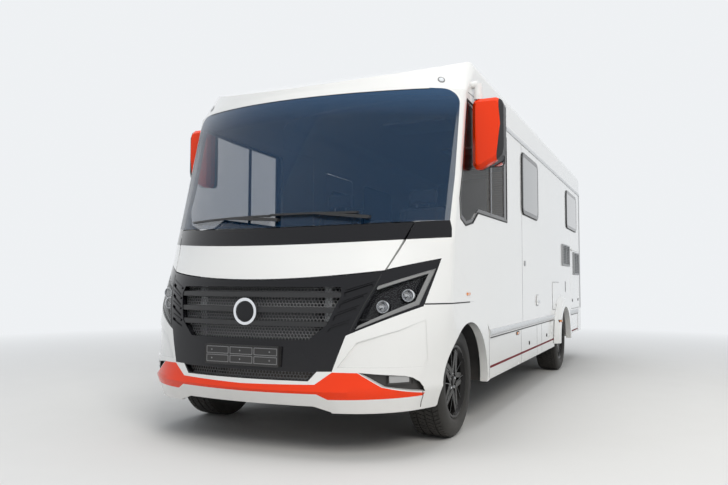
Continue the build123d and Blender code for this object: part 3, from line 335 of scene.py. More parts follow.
def dust_over(material, color, amount, reach, clean, dusty=0.7):
    """Puts road dust over a material's colour. color may be a node's output or three numbers."""
    value = color if isinstance(color, bpy.types.NodeSocket) else (*color, 1)
    dust = use_group(material, road_dust, Color=value, Amount=amount, Height=reach,
                     Clean_Roughness=clean, Dusty_Roughness=dusty)
    feed(material, "Base Color", result(dust, "Color"))
    feed(material, "Roughness", result(dust, "Roughness"))


# %% [markdown]
# The body is white laminate with a deep gloss: a clear coat over a slightly warm white, a trace of ripple in
# its reflections and a breath of dust along its lower edge. The same recipe, with its own colour, makes the
# black lacquer of the front and the red-orange accents.

# %% Body finishes
white = (0.80, 0.80, 0.785)


def make_lacquer(name, color, clean, dust=0.35, reach=0.75, coat=1.0, waviness=0.02):
    material = make_material(name, color, clean, coat=coat)
    dust_over(material, color, dust, reach, clean)
    add_bump(material, result(use_group(material, ripple)), waviness, 0.02)
    return material


body_white = make_lacquer("body white", white, 0.16, waviness=0.03)
gloss_black = make_lacquer("gloss black", (0.006, 0.006, 0.008), 0.08, dust=0.06, coat=0.35, waviness=0.015)
accent_red = make_lacquer("accent red", (0.88, 0.042, 0.001), 0.14, dust=0.03, coat=0.3)
for material in (gloss_black, accent_red):
    shader_input(material, "Specular IOR Level").default_value = 0.15
tell("body finishes", body_white, gloss_black, accent_red)

# %% [markdown]
# The lower side panels are white too, with more road dust, and carry one thin dark red line. The line is
# film, which mirrors far less than lacquer, so it gets a finish of its own with a low specular level.

# %% Finish of the skirts and of their line
skirt_white = make_lacquer("skirt white", white, 0.16, dust=0.6, reach=0.7, waviness=0.01)
film_color = (0.17, 0.006, 0.014)
line_red = make_material("dark red film", film_color, 0.55)
shader_input(line_red, "Specular IOR Level").default_value = 0.05
dust_over(line_red, film_color, 0.15, 0.7, 0.5)
tell("skirt finishes", skirt_white, line_red)

# %% [markdown]
# Mouldings are satin black or grey, and the dashboard's soft skin, the rubber of the seals and painted
# castings are made alike. One grey is a black moulding lightened as painted light, for the deep grille that
# little light reaches. They share the grain group, each at its own scale, which breaks the highlight.

# %% Plastics
def make_moulding(name, color, roughness, scale=900.0, depth=0.25, dust=0.25):
    material = make_material(name, color, roughness)
    pebbles = use_group(material, grain, Scale=scale, Roughness=roughness, Spread=0.25)
    dust_over(material, color, dust, 0.7, result(pebbles, "Roughness"))
    add_bump(material, result(pebbles, "Height"), depth, 0.0006)
    return material


satin_black = make_moulding("satin black", (0.018, 0.018, 0.019), 0.42)
# This grey is a black moulding lightened as painted light, because little light reaches the deep grille mesh.
grey_lightened_for_shade = make_moulding("grey lightened for shade", (0.20, 0.20, 0.205), 0.38)
vent_grey = make_moulding("vent grey", (0.36, 0.37, 0.38), 0.48)
dash_skin = make_moulding("dash skin", (0.035, 0.035, 0.037), 0.6, scale=500.0, depth=0.5, dust=0.0)
seal_black = make_moulding("seal rubber", (0.012, 0.012, 0.012), 0.62, scale=1400.0)
steel_painted = make_moulding("painted casting", (0.03, 0.03, 0.032), 0.55, scale=260.0, depth=0.6, dust=0.9)
tell("mouldings", satin_black, grey_lightened_for_shade, vent_grey, dash_skin, seal_black, steel_painted)

# %% [markdown]
# Glass is thin and dark here. Its shader lets part of the light through, and it turns more opaque and more
# mirror-like towards grazing angles, as a real pane does. The windscreen's blue colour is a painted reflection
# of a blue sky. The windscreen has a darker band along its top edge, worked out from the height in the object's
# coordinates. The side panes are one imported piece: those of the cab are nearly clear, and those of the living
# space are dark, so the alpha changes with the place along the vehicle.

# %% Glass
def make_pane(name, color, alpha, grazing_alpha, specular=0.9, coat=1.0):
    material = make_material(name, color, 0.02, coat=coat)
    tree = material.node_tree
    shader_input(material, "Specular IOR Level").default_value = specular
    grazing = result(add_node(tree, "ShaderNodeLayerWeight", Blend=0.35), "Fresnel")
    feed(material, "Alpha", remap(tree, grazing, 0.0, 0.7, alpha, grazing_alpha))
    return material


def change_alpha(material, axis, start, end, share_before, alpha_after=None):
    """Changes a pane's alpha from start to end on an axis. It is multiplied before and may be set after."""
    tree = material.node_tree
    plain = shader_input(material, "Alpha").links[0].from_socket
    place = result(add_node(tree, "ShaderNodeSeparateXYZ", Vector=place_of(material)), axis)
    before = plain if share_before == 1 else calculate(tree, "MULTIPLY", plain, share_before)
    after = plain if alpha_after is None else alpha_after
    feed(material, "Alpha", blend_values(tree, remap(tree, place, start, end), before, after))


# The windscreen's blue base colour is a painted reflection of a blue sky.
sky_tinted_screen = make_pane("windscreen glass with painted sky", (0.010, 0.050, 0.120), 0.28, 0.58, specular=0.4, coat=0.3)
side_glass = make_pane("side glass", (0.010, 0.012, 0.013), 0.86, 0.98)
lens_glass = make_pane("lamp lens", (0.03, 0.033, 0.036), 0.05, 0.35, specular=0.5, coat=0.3)
change_alpha(side_glass, "Y", behind(1.28), behind(1.30), share_before=0.14)
change_alpha(sky_tinted_screen, "Z", side_top - 0.21, side_top - 0.03, share_before=1, alpha_after=0.985)
tell("panes", sky_tinted_screen, side_glass, lens_glass)

# %% [markdown]
# Metals: chrome for the emblem's ring and the lamps, satin aluminium for rails, galvanised steel for the
# frame and the radiator's fins. Zinc has a pattern of crystals, so its tone follows Voronoi cells.

# %% Metals
chrome = make_material("bright chrome", (0.80, 0.81, 0.83), 0.06, metallic=1.0)
vary_roughness(chrome, 0.04, 0.16, 60.0, detail=5.0, top=0.8)

rail_silver = make_material("rail silver", (0.66, 0.67, 0.68), 0.3, metallic=0.7)
rail_tree = rail_silver.node_tree
stretched = output_of(rail_tree, "ShaderNodeMapping", Vector=place_of(rail_silver), Scale=(260.0, 2.0, 260.0))
drawn = output_of(rail_tree, "ShaderNodeTexNoise", Vector=stretched, Detail=3.0)
feed(rail_silver, "Roughness", remap(rail_tree, drawn, 0.3, 0.7, 0.24, 0.42))

zinc = make_material("galvanised steel", (0.42, 0.43, 0.44), 0.5, metallic=0.85)
zinc_tree = zinc.node_tree
spangle = result(add_node(zinc_tree, "ShaderNodeTexVoronoi", Vector=place_of(zinc), Scale=70.0), "Color")
spangle_tone = result(add_node(zinc_tree, "ShaderNodeSeparateColor", Color=spangle), "Red")
zinc_color = blend_colors(zinc_tree, spangle_tone, (0.30, 0.31, 0.32, 1), (0.55, 0.56, 0.57, 1))
dust_over(zinc, zinc_color, 0.8, 0.7, 0.45)

fins = make_material("radiator fins", (0.16, 0.165, 0.17), 0.5, metallic=0.6)
add_ribs(fins, "X", 160.0, 0.8, 0.002)
tell("metals", chrome, rail_silver, zinc, fins)

# %% [markdown]
# The wheels are cast alloy under black lacquer, with a few lines turned bright. The brakes behind them are
# bare iron. The tyres are rubber: nearly black, never glossy, with a fine mottle and a little dust. The
# mirrors' glass is here too, as a metal that is almost perfectly smooth.

# %% Wheel finishes
rim_black = make_lacquer("wheel black", (0.007, 0.007, 0.008), 0.16, dust=0.06, reach=0.9, coat=0.12,
                         waviness=0.0)
shader_input(rim_black, "Specular IOR Level").default_value = 0.12
mirror_face = make_material("mirror glass", (0.80, 0.82, 0.84), 0.02, metallic=1.0)
machined = make_material("machined alloy", (0.36, 0.37, 0.38), 0.28, metallic=1.0)
vary_roughness(machined, 0.22, 0.4, 300.0)
brake_iron = make_material("brake iron", (0.20, 0.19, 0.18), 0.42, metallic=0.9)
vary_roughness(brake_iron, 0.3, 0.6, 90.0)

rubber = make_material("tyre rubber", (0.022, 0.022, 0.022), 0.78)
rubber_tree = rubber.node_tree
mottle = output_of(rubber_tree, "ShaderNodeTexNoise", Vector=place_of(rubber), Scale=220.0, Detail=6.0)
rubber_color = blend_colors(rubber_tree, mottle, (0.006, 0.006, 0.006, 1), (0.015, 0.015, 0.014, 1))
dust_over(rubber, rubber_color, 0.12, 0.6, 0.66, 0.85)
add_bump(rubber, mottle, 0.3, 0.0008)
tell("wheel finishes", rim_black, machined, brake_iron, rubber, mirror_face)

# %% [markdown]
# Lamp lenses are coloured plastic with fine ribs from a wave in the bump. The light guide of the headlamp is
# a milky bar with closer ribs.

# %% Lamp finishes
def make_lamp_lens(name, color):
    material = make_material(name, color, 0.12, coat=1.0)
    add_ribs(material, "Z", 60.0, 0.4, 0.002)
    return material


red_lens = make_lamp_lens("red lens", (0.42, 0.008, 0.010))
amber_lens = make_lamp_lens("amber lens", (0.75, 0.22, 0.012))
white_lens = make_lamp_lens("clear ribbed lens", (0.72, 0.74, 0.76))

lit_white = make_material("light guide", (0.36, 0.36, 0.36), 0.30, coat=0.5)
add_ribs(lit_white, "X", 90.0, 0.3, 0.001)
tell("lamp finishes", red_lens, amber_lens, white_lens, lit_white)

# %% [markdown]
# Wood, cloth and the sealed board under the floor finish the list of the object's own materials. The wood's
# figure is a wave bent by noise, and the seat cloth uses the weave group.

# %% Interior finishes
def make_wood():
    material = make_material("cabinet wood", (0.36, 0.23, 0.13), 0.42, coat=0.25)
    tree = material.node_tree
    stretched = output_of(tree, "ShaderNodeMapping", Vector=place_of(material), Scale=(9.0, 1.2, 9.0))
    figure = result(add_node(tree, "ShaderNodeTexWave", {"bands_direction": "Z"}, Vector=stretched, Scale=1.4,
                             Distortion=7.0, Detail=3.0), "Fac")
    pores = output_of(tree, "ShaderNodeTexNoise", Vector=stretched, Scale=40.0, Detail=6.0)
    tone = calculate(tree, "MULTIPLY", figure, pores)
    feed(material, "Base Color", blend_colors(tree, tone, (0.42, 0.29, 0.18, 1), (0.20, 0.11, 0.055, 1)))
    feed(material, "Roughness", remap(tree, pores, 0.3, 0.7, 0.36, 0.55))
    return material


def make_cloth(name, color, light_color):
    material = make_material(name, color, 0.9)
    shader_input(material, "Sheen Weight").default_value = 0.3
    threads = use_group(material, weave, Scale=420.0, Color=(*color, 1), Light_Color=(*light_color, 1))
    feed(material, "Base Color", result(threads, "Color"))
    add_bump(material, result(threads, "Height"), 0.5, 0.001)
    return material


cabinet_wood = make_wood()
seat_cloth = make_cloth("seat cloth", (0.055, 0.055, 0.060), (0.13, 0.13, 0.14))
floor_board = make_moulding("sealed board", (0.06, 0.055, 0.05), 0.7, scale=120.0, depth=0.4, dust=0.5)
tell("interior finishes", cabinet_wood, seat_cloth, floor_board)

# %% [markdown]
# The floor takes the object's shadow near it. Further out its shader turns into the backdrop's own colour for
# rays that come from the camera or from a reflection, so no horizon shows and no light is added to the
# object.

# %% Floor finish
stage_floor = make_material("studio floor", (0.66, 0.65, 0.63), 0.75)
floor_tree = stage_floor.node_tree
vary_roughness(stage_floor, 0.7, 0.85, 3.0)
reach = result(add_node(floor_tree, "ShaderNodeVectorMath", {"operation": "LENGTH"},
                        Vector=place_of(stage_floor)), "Value")
rays = add_node(floor_tree, "ShaderNodeLightPath").outputs
seen = calculate(floor_tree, "MAXIMUM", rays["Is Camera Ray"], rays["Is Glossy Ray"])
pale = output_of(floor_tree, "ShaderNodeEmission", Color=backdrop_color, Strength=1.0)
far = calculate(floor_tree, "MULTIPLY", remap(floor_tree, reach, 3.0, 10.0), seen)
near = result(floor_tree.nodes["Principled BSDF"])
faded = output_of(floor_tree, "ShaderNodeMixShader", Fac=far, Shader=near, Shader_001=pale)
floor_tree.links.new(faded, floor_tree.nodes["Material Output"].inputs["Surface"])
studio_floor.data.materials.append(stage_floor)
tell("floor finish", stage_floor)

# %% [markdown]
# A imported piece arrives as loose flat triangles. A small geometry tree on each of them welds the copies of a
# corner, then smooths the shading except across edges sharper than a set angle. It works on the evaluated
# mesh only, so the piece's own mesh stays as it was packed.

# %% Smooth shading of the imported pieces
def make_geometry_tree(name, inputs):
    """Starts a geometry tree with named inputs, each a label, a kind and a default value or None."""
    tree = bpy.data.node_groups.new(name, "GeometryNodeTree")
    tree.interface.new_socket("Geometry", in_out="INPUT", socket_type="NodeSocketGeometry")
    for label, kind, value in inputs:
        socket = tree.interface.new_socket(label, in_out="INPUT", socket_type="NodeSocket" + kind)
        if value is not None:
            socket.default_value = value
    tree.interface.new_socket("Geometry", in_out="OUTPUT", socket_type="NodeSocketGeometry")
    return tree, tree.nodes.new("NodeGroupInput").outputs


def make_weld_tree():
    tree, given = make_geometry_tree("Weld and smooth", [
        ("Sharp Angle", "Float", radians(32)), ("Weld Distance", "Float", 0.00002)])
    welded = output_of(tree, "GeometryNodeMergeByDistance", Geometry=given["Geometry"],
                       Distance=given["Weld Distance"])
    smooth = output_of(tree, "GeometryNodeSetShadeSmooth", {"domain": "FACE"}, Geometry=welded,
                       Shade_Smooth=True)
    bend = result(add_node(tree, "GeometryNodeInputMeshEdgeAngle"), "Unsigned Angle")
    sharp = output_of(tree, "FunctionNodeCompare", {"operation": "GREATER_THAN"}, A=bend,
                      B=given["Sharp Angle"])
    edged = add_node(tree, "GeometryNodeSetShadeSmooth", {"domain": "EDGE"}, Geometry=smooth, Selection=sharp,
                     Shade_Smooth=False)
    tree.links.new(result(edged), tree.nodes.new("NodeGroupOutput").inputs["Geometry"])
    return tree


weld_tree = make_weld_tree()
print("geometry tree", weld_tree.name)

# %% [markdown]
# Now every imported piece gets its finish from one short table.

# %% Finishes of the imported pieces
node_finish = {
    "bonnet": body_white, "bonnet_band": gloss_black, "windshield": sky_tinted_screen,
    "scuttle_corners": gloss_black, "grille_surround": gloss_black, "grille_slats": satin_black,
    "grille_mesh": satin_black, "badge": chrome, "plate_holders": satin_black,
    "headlamp_housings": gloss_black, "headlamp_lenses": lens_glass, "light_guides": lit_white,
    "headlamp_projectors": chrome, "bumper": body_white, "bumper_stripe": accent_red,
    "fog_lamps": satin_black, "cab_sides": body_white, "roof_cap": body_white, "roof": body_white,
    "roof_hatches": vent_grey, "side_wall_left": body_white, "side_wall_right": body_white,
    "side_windows": side_glass, "garage_door_left": body_white, "garage_door_right": body_white,
    "entrance_door": body_white, "entrance_window": side_glass, "rear_wall": body_white,
    "rear_bumper": body_white, "tail_lamps": red_lens, "skirts": skirt_white, "arch_flares": body_white,
    "floor": floor_board, "chassis_frame": zinc, "front_axle": steel_painted, "knuckle_left": steel_painted,
    "knuckle_right": steel_painted, "rear_axle": steel_painted, "engine": steel_painted, "radiator": fins,
    "underfloor_tanks": satin_black, "mirror_shells": accent_red, "mirror_backs": satin_black,
    "mirror_arms": body_white, "dashboard": dash_skin, "steering_wheel": dash_skin, "seats": seat_cloth,
    "furniture": cabinet_wood, "wipers": satin_black,
}
for end in ("front", "rear"):
    for _, side_name in sides:
        node_finish[f"tyre_{end}_{side_name}"] = rubber
        node_finish[f"rim_{end}_{side_name}"] = rim_black
for name, finish in node_finish.items():
    piece = nodes[name]
    piece.data.materials.clear()
    piece.data.materials.append(finish)
    weld = piece.modifiers.new("weld and smooth", "NODES")
    weld.node_group = weld_tree
print(len(node_finish), "packed pieces finished")

# %% [markdown]
# From here on, pieces are built. Most are small mouldings, so a few shape helpers serve them all: a prism
# carried along an axis, a frame between two outlines, a tube through rows of points, a form turned about an
# axis and a bar between two points. A last helper gives a finished mesh its name, its finish, its body and,
# where edges should catch light, a small bevel.


def point_on(axis, a, b, t):
    """A point at t along an axis, with a and b for the other two in X, Y, Z order."""
    return {"X": (t, a, b), "Y": (a, t, b), "Z": (a, b, t)}[axis]


def add_prism(shape, outline, axis, low, high):
    """Adds an outline of two coordinates carried along the third from low to high."""
    near = [shape.verts.new(point_on(axis, a, b, low)) for a, b in outline]
    far = [shape.verts.new(point_on(axis, a, b, high)) for a, b in outline]
    shape.faces.new(near)
    shape.faces.new(far)
    for i in range(len(outline)):
        shape.faces.new((near[i - 1], near[i], far[i], far[i - 1]))


def add_block(shape, low, high):
    outline = [(low[0], low[1]), (high[0], low[1]), (high[0], high[1]), (low[0], high[1])]
    add_prism(shape, outline, "Z", low[2], high[2])


def round_outline(low, high, radius, steps=5, grown=0.0):
    """A rectangle of two coordinates with rounded corners, grown on every side or, below zero, shrunk."""
    low, high = [value - grown for value in low], [value + grown for value in high]
    corners = [(high[0] - radius, high[1] - radius, 0), (low[0] + radius, high[1] - radius, 90),
               (low[0] + radius, low[1] + radius, 180), (high[0] - radius, low[1] + radius, 270)]
    outline = []
    for a, b, start in corners:
        for i in range(steps + 1):
            turn = radians(start + 90 * i / steps)
            outline.append((a + radius * cos(turn), b + radius * sin(turn)))
    return outline


def add_frame(shape, outer, inner, axis, low, high):
    """Adds a frame between two outlines with as many points each."""
    rings = [[shape.verts.new(point_on(axis, a, b, t)) for a, b in outline]
             for outline, t in ((outer, low), (outer, high), (inner, high), (inner, low))]
    for ring, following in zip(rings, rings[1:] + rings[:1]):
        for i in range(len(ring)):
            shape.faces.new((ring[i - 1], ring[i], following[i], following[i - 1]))


def add_tube(shape, rows):
    """Joins rows of as many points each into a tube and caps its two ends."""
    for row, following in zip(rows, rows[1:]):
        for i in range(len(row)):
            shape.faces.new((row[i - 1], row[i], following[i], following[i - 1]))
    shape.faces.new(rows[0])
    shape.faces.new(rows[-1])


def add_turned(shape, profile, centre, direction, steps=40, closed=False):
    """Adds (reach, radius) points turned about a direction through centre. A closed profile makes a ring."""
    turn = Vector(direction).to_track_quat("Z", "Y")
    rings = []
    for reach, radius in profile:
        count = steps if radius > 1e-6 else 1
        around = [2 * pi * i / steps for i in range(count)]
        points = [Vector((radius * cos(a), radius * sin(a), reach)) for a in around]
        rings.append([shape.verts.new(Vector(centre) + turn @ point) for point in points])
    pairs = list(zip(rings, rings[1:]))
    if closed:
        pairs.append((rings[-1], rings[0]))
    for first, second in pairs:
        for i in range(steps):
            corners = [first[(i - 1) % len(first)], first[i % len(first)],
                       second[i % len(second)], second[(i - 1) % len(second)]]
            shape.faces.new(list(dict.fromkeys(corners)))


def add_bar(shape, start, end, radius, steps=12):
    start, end = Vector(start), Vector(end)
    span = (end - start).length
    add_turned(shape, [(0, 0), (0, radius), (span, radius), (span, 0)], start, end - start, steps)


def mesh_of(shape, name):
    """Turns a bmesh with its faces outwards into a mesh."""
    bmesh.ops.recalc_face_normals(shape, faces=shape.faces)
    mesh = bpy.data.meshes.new(name)
    shape.to_mesh(mesh)
    shape.free()
    return mesh


def add_piece(name, shape, finish, body="body", bevel=0.0, replaced=(), sharp=35, subdivide=0):
    """Makes a piece of the object from a bmesh, or from a mesh that is already made."""
    mesh = mesh_of(shape, name) if isinstance(shape, bmesh.types.BMesh) else shape
    mesh.polygons.foreach_set("use_smooth", [True] * len(mesh.polygons))
    mesh.set_sharp_from_angle(angle=radians(sharp))
    if len(mesh.materials) == 0:
        mesh.materials.append(finish)
    piece = add_object(name, mesh)
    if bevel:
        rounding = piece.modifiers.new("edge rounding", "BEVEL")
        rounding.width = bevel
        rounding.segments = 2
        rounding.limit_method = "ANGLE"
        rounding.angle_limit = radians(40)
        rounding.harden_normals = True
    if subdivide:
        smoothing = piece.modifiers.new("subdivision", "SUBSURF")
        smoothing.levels = smoothing.render_levels = subdivide
    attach(piece, body)
    if replaced:
        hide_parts(*replaced)
    return piece


# %% [markdown]
# Many pieces lie on the curved nose or on the flat sides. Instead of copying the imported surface's numbers, a
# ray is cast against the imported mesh: it gives the exact point and the direction in which the surface faces
# there.

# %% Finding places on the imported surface
@cache
def skin_of(*names):
    points, polygons = [], []
    for name in names:
        mesh = nodes[name].data
        start = len(points)
        points += [vertex.co.copy() for vertex in mesh.vertices]
        polygons += [[start + i for i in polygon.vertices] for polygon in mesh.polygons]
    return BVHTree.FromPolygons(points, polygons)


def from_front(x, z, *names):
    """The first point of the named nodes that is met from the front at (x, z), and where it faces."""
    place, facing, _, _ = skin_of(*names).ray_cast(Vector((x, nose_y - 1, z)), Vector((0, 1, 0)))
    return place, facing


def from_side(side, y, z, *names):
    place, facing, _, _ = skin_of(*names).ray_cast(Vector((side * 2, y, z)), Vector((-side, 0, 0)))
    return place, facing


def spread_line(points, spacing):
    """Points at an even spacing along a line of (a, b) corners."""
    line = [points[0]]
    for (a0, b0), (a1, b1) in zip(points, points[1:]):
        count = max(1, round(hypot(a1 - a0, b1 - b0) / spacing))
        line += [(a0 + (a1 - a0) * i / count, b0 + (b1 - b0) * i / count) for i in range(1, count + 1)]
    return line


def add_strip(shape, hits, width, proud):
    """Adds a thin strip along surface points, each a place and a facing, with its underside sunk in."""
    sunk = 0.001
    rows = []
    for i, (place, facing) in enumerate(hits):
        along = hits[min(i + 1, len(hits) - 1)][0] - hits[max(i - 1, 0)][0]
        across = along.cross(facing).normalized() * width / 2
        rows.append([shape.verts.new(place + side * across + out * facing) for side, out in (
            (-1, -sunk), (-1, proud), (1, proud), (1, -sunk))])
    add_tube(shape, rows)


def add_found_strip(shape, hits, width, proud):
    """Adds a strip through the places that were met, and says so where there are too few."""
    found = [hit for hit in hits if hit[0] is not None]
    if len(found) > 1:
        add_strip(shape, found, width, proud)
    else:
        print("a strip found no surface")


def front_strip(shape, points, width, proud, *names, spacing=0.02):
    hits = [from_front(x, z, *names) for x, z in spread_line(points, spacing)]
    add_found_strip(shape, hits, width, proud)


def side_strip(shape, side, points, width, proud, *names, spacing=0.03):
    hits = [from_side(side, y, z, *names) for y, z in spread_line(points, spacing)]
    add_found_strip(shape, hits, width, proud)


print("a ray from the front meets the bonnet at", from_front(0.0, 1.15, "bonnet")[0])

# %% [markdown]
# The grille's mesh is a honeycomb of thin plastic bars. Its rule is simple, so Geometry Nodes make it: a Y of
# three half bars is placed on a lattice, and three bars from each point close every cell. The flat honeycomb
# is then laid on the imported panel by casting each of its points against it, and what misses the panel is
# dropped.

# %% Honeycomb of the grille
def close_tree(tree, geometry, finish_socket):
    """Every tree ends alike: the instances are made real and get their material."""
    realized = output_of(tree, "GeometryNodeRealizeInstances", Geometry=geometry)
    painted = output_of(tree, "GeometryNodeSetMaterial", Geometry=realized, Material=finish_socket)
    tree.links.new(painted, tree.nodes.new("NodeGroupOutput").inputs["Geometry"])


def grow(tree, **values):
    """Runs a geometry tree on an empty mesh and returns the plain mesh that it makes."""
    holder = add_object("holder", bpy.data.meshes.new("holder"))
    run = holder.modifiers.new("nodes", "NODES")
    run.node_group = tree
    identifiers = {item.name: item.identifier for item in tree.interface.items_tree
                   if item.item_type == "SOCKET" and item.in_out == "INPUT"}
    for label, value in values.items():
        run[identifiers[label.replace("_", " ")]] = value
    graph = bpy.context.evaluated_depsgraph_get()
    mesh = bpy.data.meshes.new_from_object(holder.evaluated_get(graph), preserve_all_data_layers=True,
                                           depsgraph=graph)
    bpy.data.objects.remove(holder)
    return mesh


def make_honeycomb_tree():
    tree, given = make_geometry_tree("Honeycomb", [
        ("Panel", "Object", None), ("Cell", "Float", 0.015), ("Bar", "Float", 0.0022),
        ("Depth", "Float", 0.006), ("Columns", "Int", 80), ("Rows", "Int", 40),
        ("Centre Height", "Float", 0.75), ("Finish", "Material", None)])
    cell, bar, depth = given["Cell"], given["Bar"], given["Depth"]
    side = calculate(tree, "DIVIDE", cell, 3 ** 0.5)
    half_side = calculate(tree, "MULTIPLY", side, 0.5)
    size = output_of(tree, "ShaderNodeCombineXYZ", X=bar, Y=depth, Z=side)
    block = result(add_node(tree, "GeometryNodeMeshCube", Size=size), "Mesh")
    raised = output_of(tree, "GeometryNodeTransform", Geometry=block, Translation=result(
        add_node(tree, "ShaderNodeCombineXYZ", Z=half_side)))
    join_node = tree.nodes.new("GeometryNodeJoinGeometry")
    for turn in (0, 120, 240):
        arm = output_of(tree, "GeometryNodeTransform", Geometry=raised, Rotation=(0, radians(turn), 0))
        tree.links.new(arm, join_node.inputs[0])
    row_step = calculate(tree, "MULTIPLY", side, 1.5)
    wide = calculate(tree, "MULTIPLY", calculate(tree, "SUBTRACT", given["Columns"], 1.0), cell)
    high = calculate(tree, "MULTIPLY", calculate(tree, "SUBTRACT", given["Rows"], 1.0), row_step)
    grid = result(add_node(tree, "GeometryNodeMeshGrid", Vertices_X=given["Columns"],
                           Vertices_Y=given["Rows"], Size_X=wide, Size_Y=high), "Mesh")
    index = output_of(tree, "GeometryNodeInputIndex")
    parity = calculate(tree, "MODULO", calculate(tree, "MODULO", index, given["Rows"]), 2.0)
    spot = add_node(tree, "ShaderNodeSeparateXYZ", Vector=output_of(tree, "GeometryNodeInputPosition"))
    shifted = calculate(tree, "ADD", result(spot, "X"), calculate(
        tree, "MULTIPLY", calculate(tree, "SUBTRACT", parity, 0.5), calculate(tree, "MULTIPLY", cell, 0.5)))
    upright = output_of(tree, "ShaderNodeCombineXYZ", X=shifted, Y=0.0, Z=calculate(
        tree, "ADD", result(spot, "Y"), given["Centre Height"]))
    lattice = output_of(tree, "GeometryNodeSetPosition", Geometry=grid, Position=upright)
    bars = output_of(tree, "GeometryNodeRealizeInstances", Geometry=output_of(
        tree, "GeometryNodeInstanceOnPoints", Points=lattice, Instance=result(join_node)))
    panel = result(add_node(tree, "GeometryNodeObjectInfo", {"transform_space": "RELATIVE"},
                            Object=given["Panel"]), "Geometry")
    here = add_node(tree, "ShaderNodeSeparateXYZ", Vector=output_of(tree, "GeometryNodeInputPosition"))
    origin = output_of(tree, "ShaderNodeCombineXYZ", X=result(here, "X"), Y=nose_y - 1, Z=result(here, "Z"))
    cast = add_node(tree, "GeometryNodeRaycast", Target_Geometry=panel, Source_Position=origin,
                    Ray_Direction=(0, 1, 0), Ray_Length=2.0)
    landed = add_node(tree, "ShaderNodeSeparateXYZ", Vector=result(cast, "Hit Position"))
    laid = output_of(tree, "ShaderNodeCombineXYZ", X=result(here, "X"), Z=result(here, "Z"), Y=calculate(
        tree, "ADD", result(landed, "Y"), result(here, "Y")))
    missed = output_of(tree, "FunctionNodeBooleanMath", {"operation": "NOT"}, Boolean=result(cast, "Is Hit"))
    stored = add_node(tree, "GeometryNodeCaptureAttribute", Geometry=bars)
    stored.capture_items.new("BOOLEAN", "missed")
    stored.capture_items.new("VECTOR", "laid")
    tree.links.new(missed, stored.inputs["missed"])
    tree.links.new(laid, stored.inputs["laid"])
    curved = output_of(tree, "GeometryNodeSetPosition", Geometry=stored.outputs["Geometry"],
                       Position=stored.outputs["laid"])
    trimmed = output_of(tree, "GeometryNodeDeleteGeometry", Geometry=curved,
                        Selection=stored.outputs["missed"])
    close_tree(tree, trimmed, given["Finish"])
    return tree


honeycomb_tree = make_honeycomb_tree()
# The honeycomb takes the lightened grey: painted light for bars that sit deep in the grille's shade.
honeycomb = grow(honeycomb_tree, Panel=nodes["grille_mesh"], Cell=0.0210, Bar=0.0036, Columns=60, Rows=34,
                 Centre_Height=0.735, Finish=grey_lightened_for_shade)
add_piece("grille_honeycomb", honeycomb, grey_lightened_for_shade, replaced=["grille_mesh"])
print("honeycomb", len(honeycomb.polygons), "faces")

# %% [markdown]
# Two more small trees repeat a pattern: one places copies around a wheel's axle, the other along a straight
# row. Both serve many pieces, from tread blocks and wheel bolts to the louvres of the vents.

# %% Copies around an axle and along a row
def make_ring_tree():
    tree, given = make_geometry_tree("Copies around an axle", [
        ("Pattern", "Object", None), ("Count", "Int", 5), ("Centre", "Vector", None),
        ("Finish", "Material", None)])
    pattern = result(add_node(tree, "GeometryNodeObjectInfo", Object=given["Pattern"]), "Geometry")
    points = output_of(tree, "GeometryNodePoints", Count=given["Count"], Position=given["Centre"])
    turn = calculate(tree, "DIVIDE", calculate(tree, "MULTIPLY", output_of(
        tree, "GeometryNodeInputIndex"), 2 * pi), given["Count"])
    turned = output_of(tree, "FunctionNodeEulerToRotation", Euler=output_of(
        tree, "ShaderNodeCombineXYZ", X=turn))
    copies = output_of(tree, "GeometryNodeInstanceOnPoints", Points=points, Instance=pattern, Rotation=turned)
    close_tree(tree, copies, given["Finish"])
    return tree


def make_row_tree():
    tree, given = make_geometry_tree("Copies along a row", [
        ("Pattern", "Object", None), ("Count", "Int", 5), ("Start", "Vector", None), ("Step", "Vector", None),
        ("Finish", "Material", None)])
    pattern = result(add_node(tree, "GeometryNodeObjectInfo", Object=given["Pattern"]), "Geometry")
    moved = output_of(tree, "ShaderNodeVectorMath", {"operation": "MULTIPLY_ADD"}, Vector=given["Step"],
                      Vector_001=output_of(tree, "GeometryNodeInputIndex"), Vector_002=given["Start"])
    points = output_of(tree, "GeometryNodePoints", Count=given["Count"], Position=moved)
    copies = output_of(tree, "GeometryNodeInstanceOnPoints", Points=points, Instance=pattern)
    close_tree(tree, copies, given["Finish"])
    return tree


ring_tree, row_tree = make_ring_tree(), make_row_tree()


def repeat(shape, tree, finish, **values):
    """Repeats a shape by one of the two trees and returns the plain mesh."""
    pattern = add_object("pattern", mesh_of(shape, "pattern"))
    grown = grow(tree, Pattern=pattern, Finish=finish, **values)
    bpy.data.objects.remove(pattern)
    return grown


# %% [markdown]
# The tyres are wide road tyres with four ribs of blocks. The carcass is turned from one profile, with its
# bulging sidewall, a raised rim guard and a rounded shoulder, and it stands for the plain packed tyre. The
# tread is one row of four slanted blocks, repeated around the axle.

# %% Tyres
tyre_radius = axle_height
tread_depth = 0.008
tread_rows = 68
front_wheel_x, rear_wheel_x = 0.906, 0.980
wheels = {
    "front_left": (front_wheel_x, front_axle_y, 1), "front_right": (-front_wheel_x, front_axle_y, -1),
    "rear_left": (rear_wheel_x, rear_axle_y, 1), "rear_right": (-rear_wheel_x, rear_axle_y, -1),
}


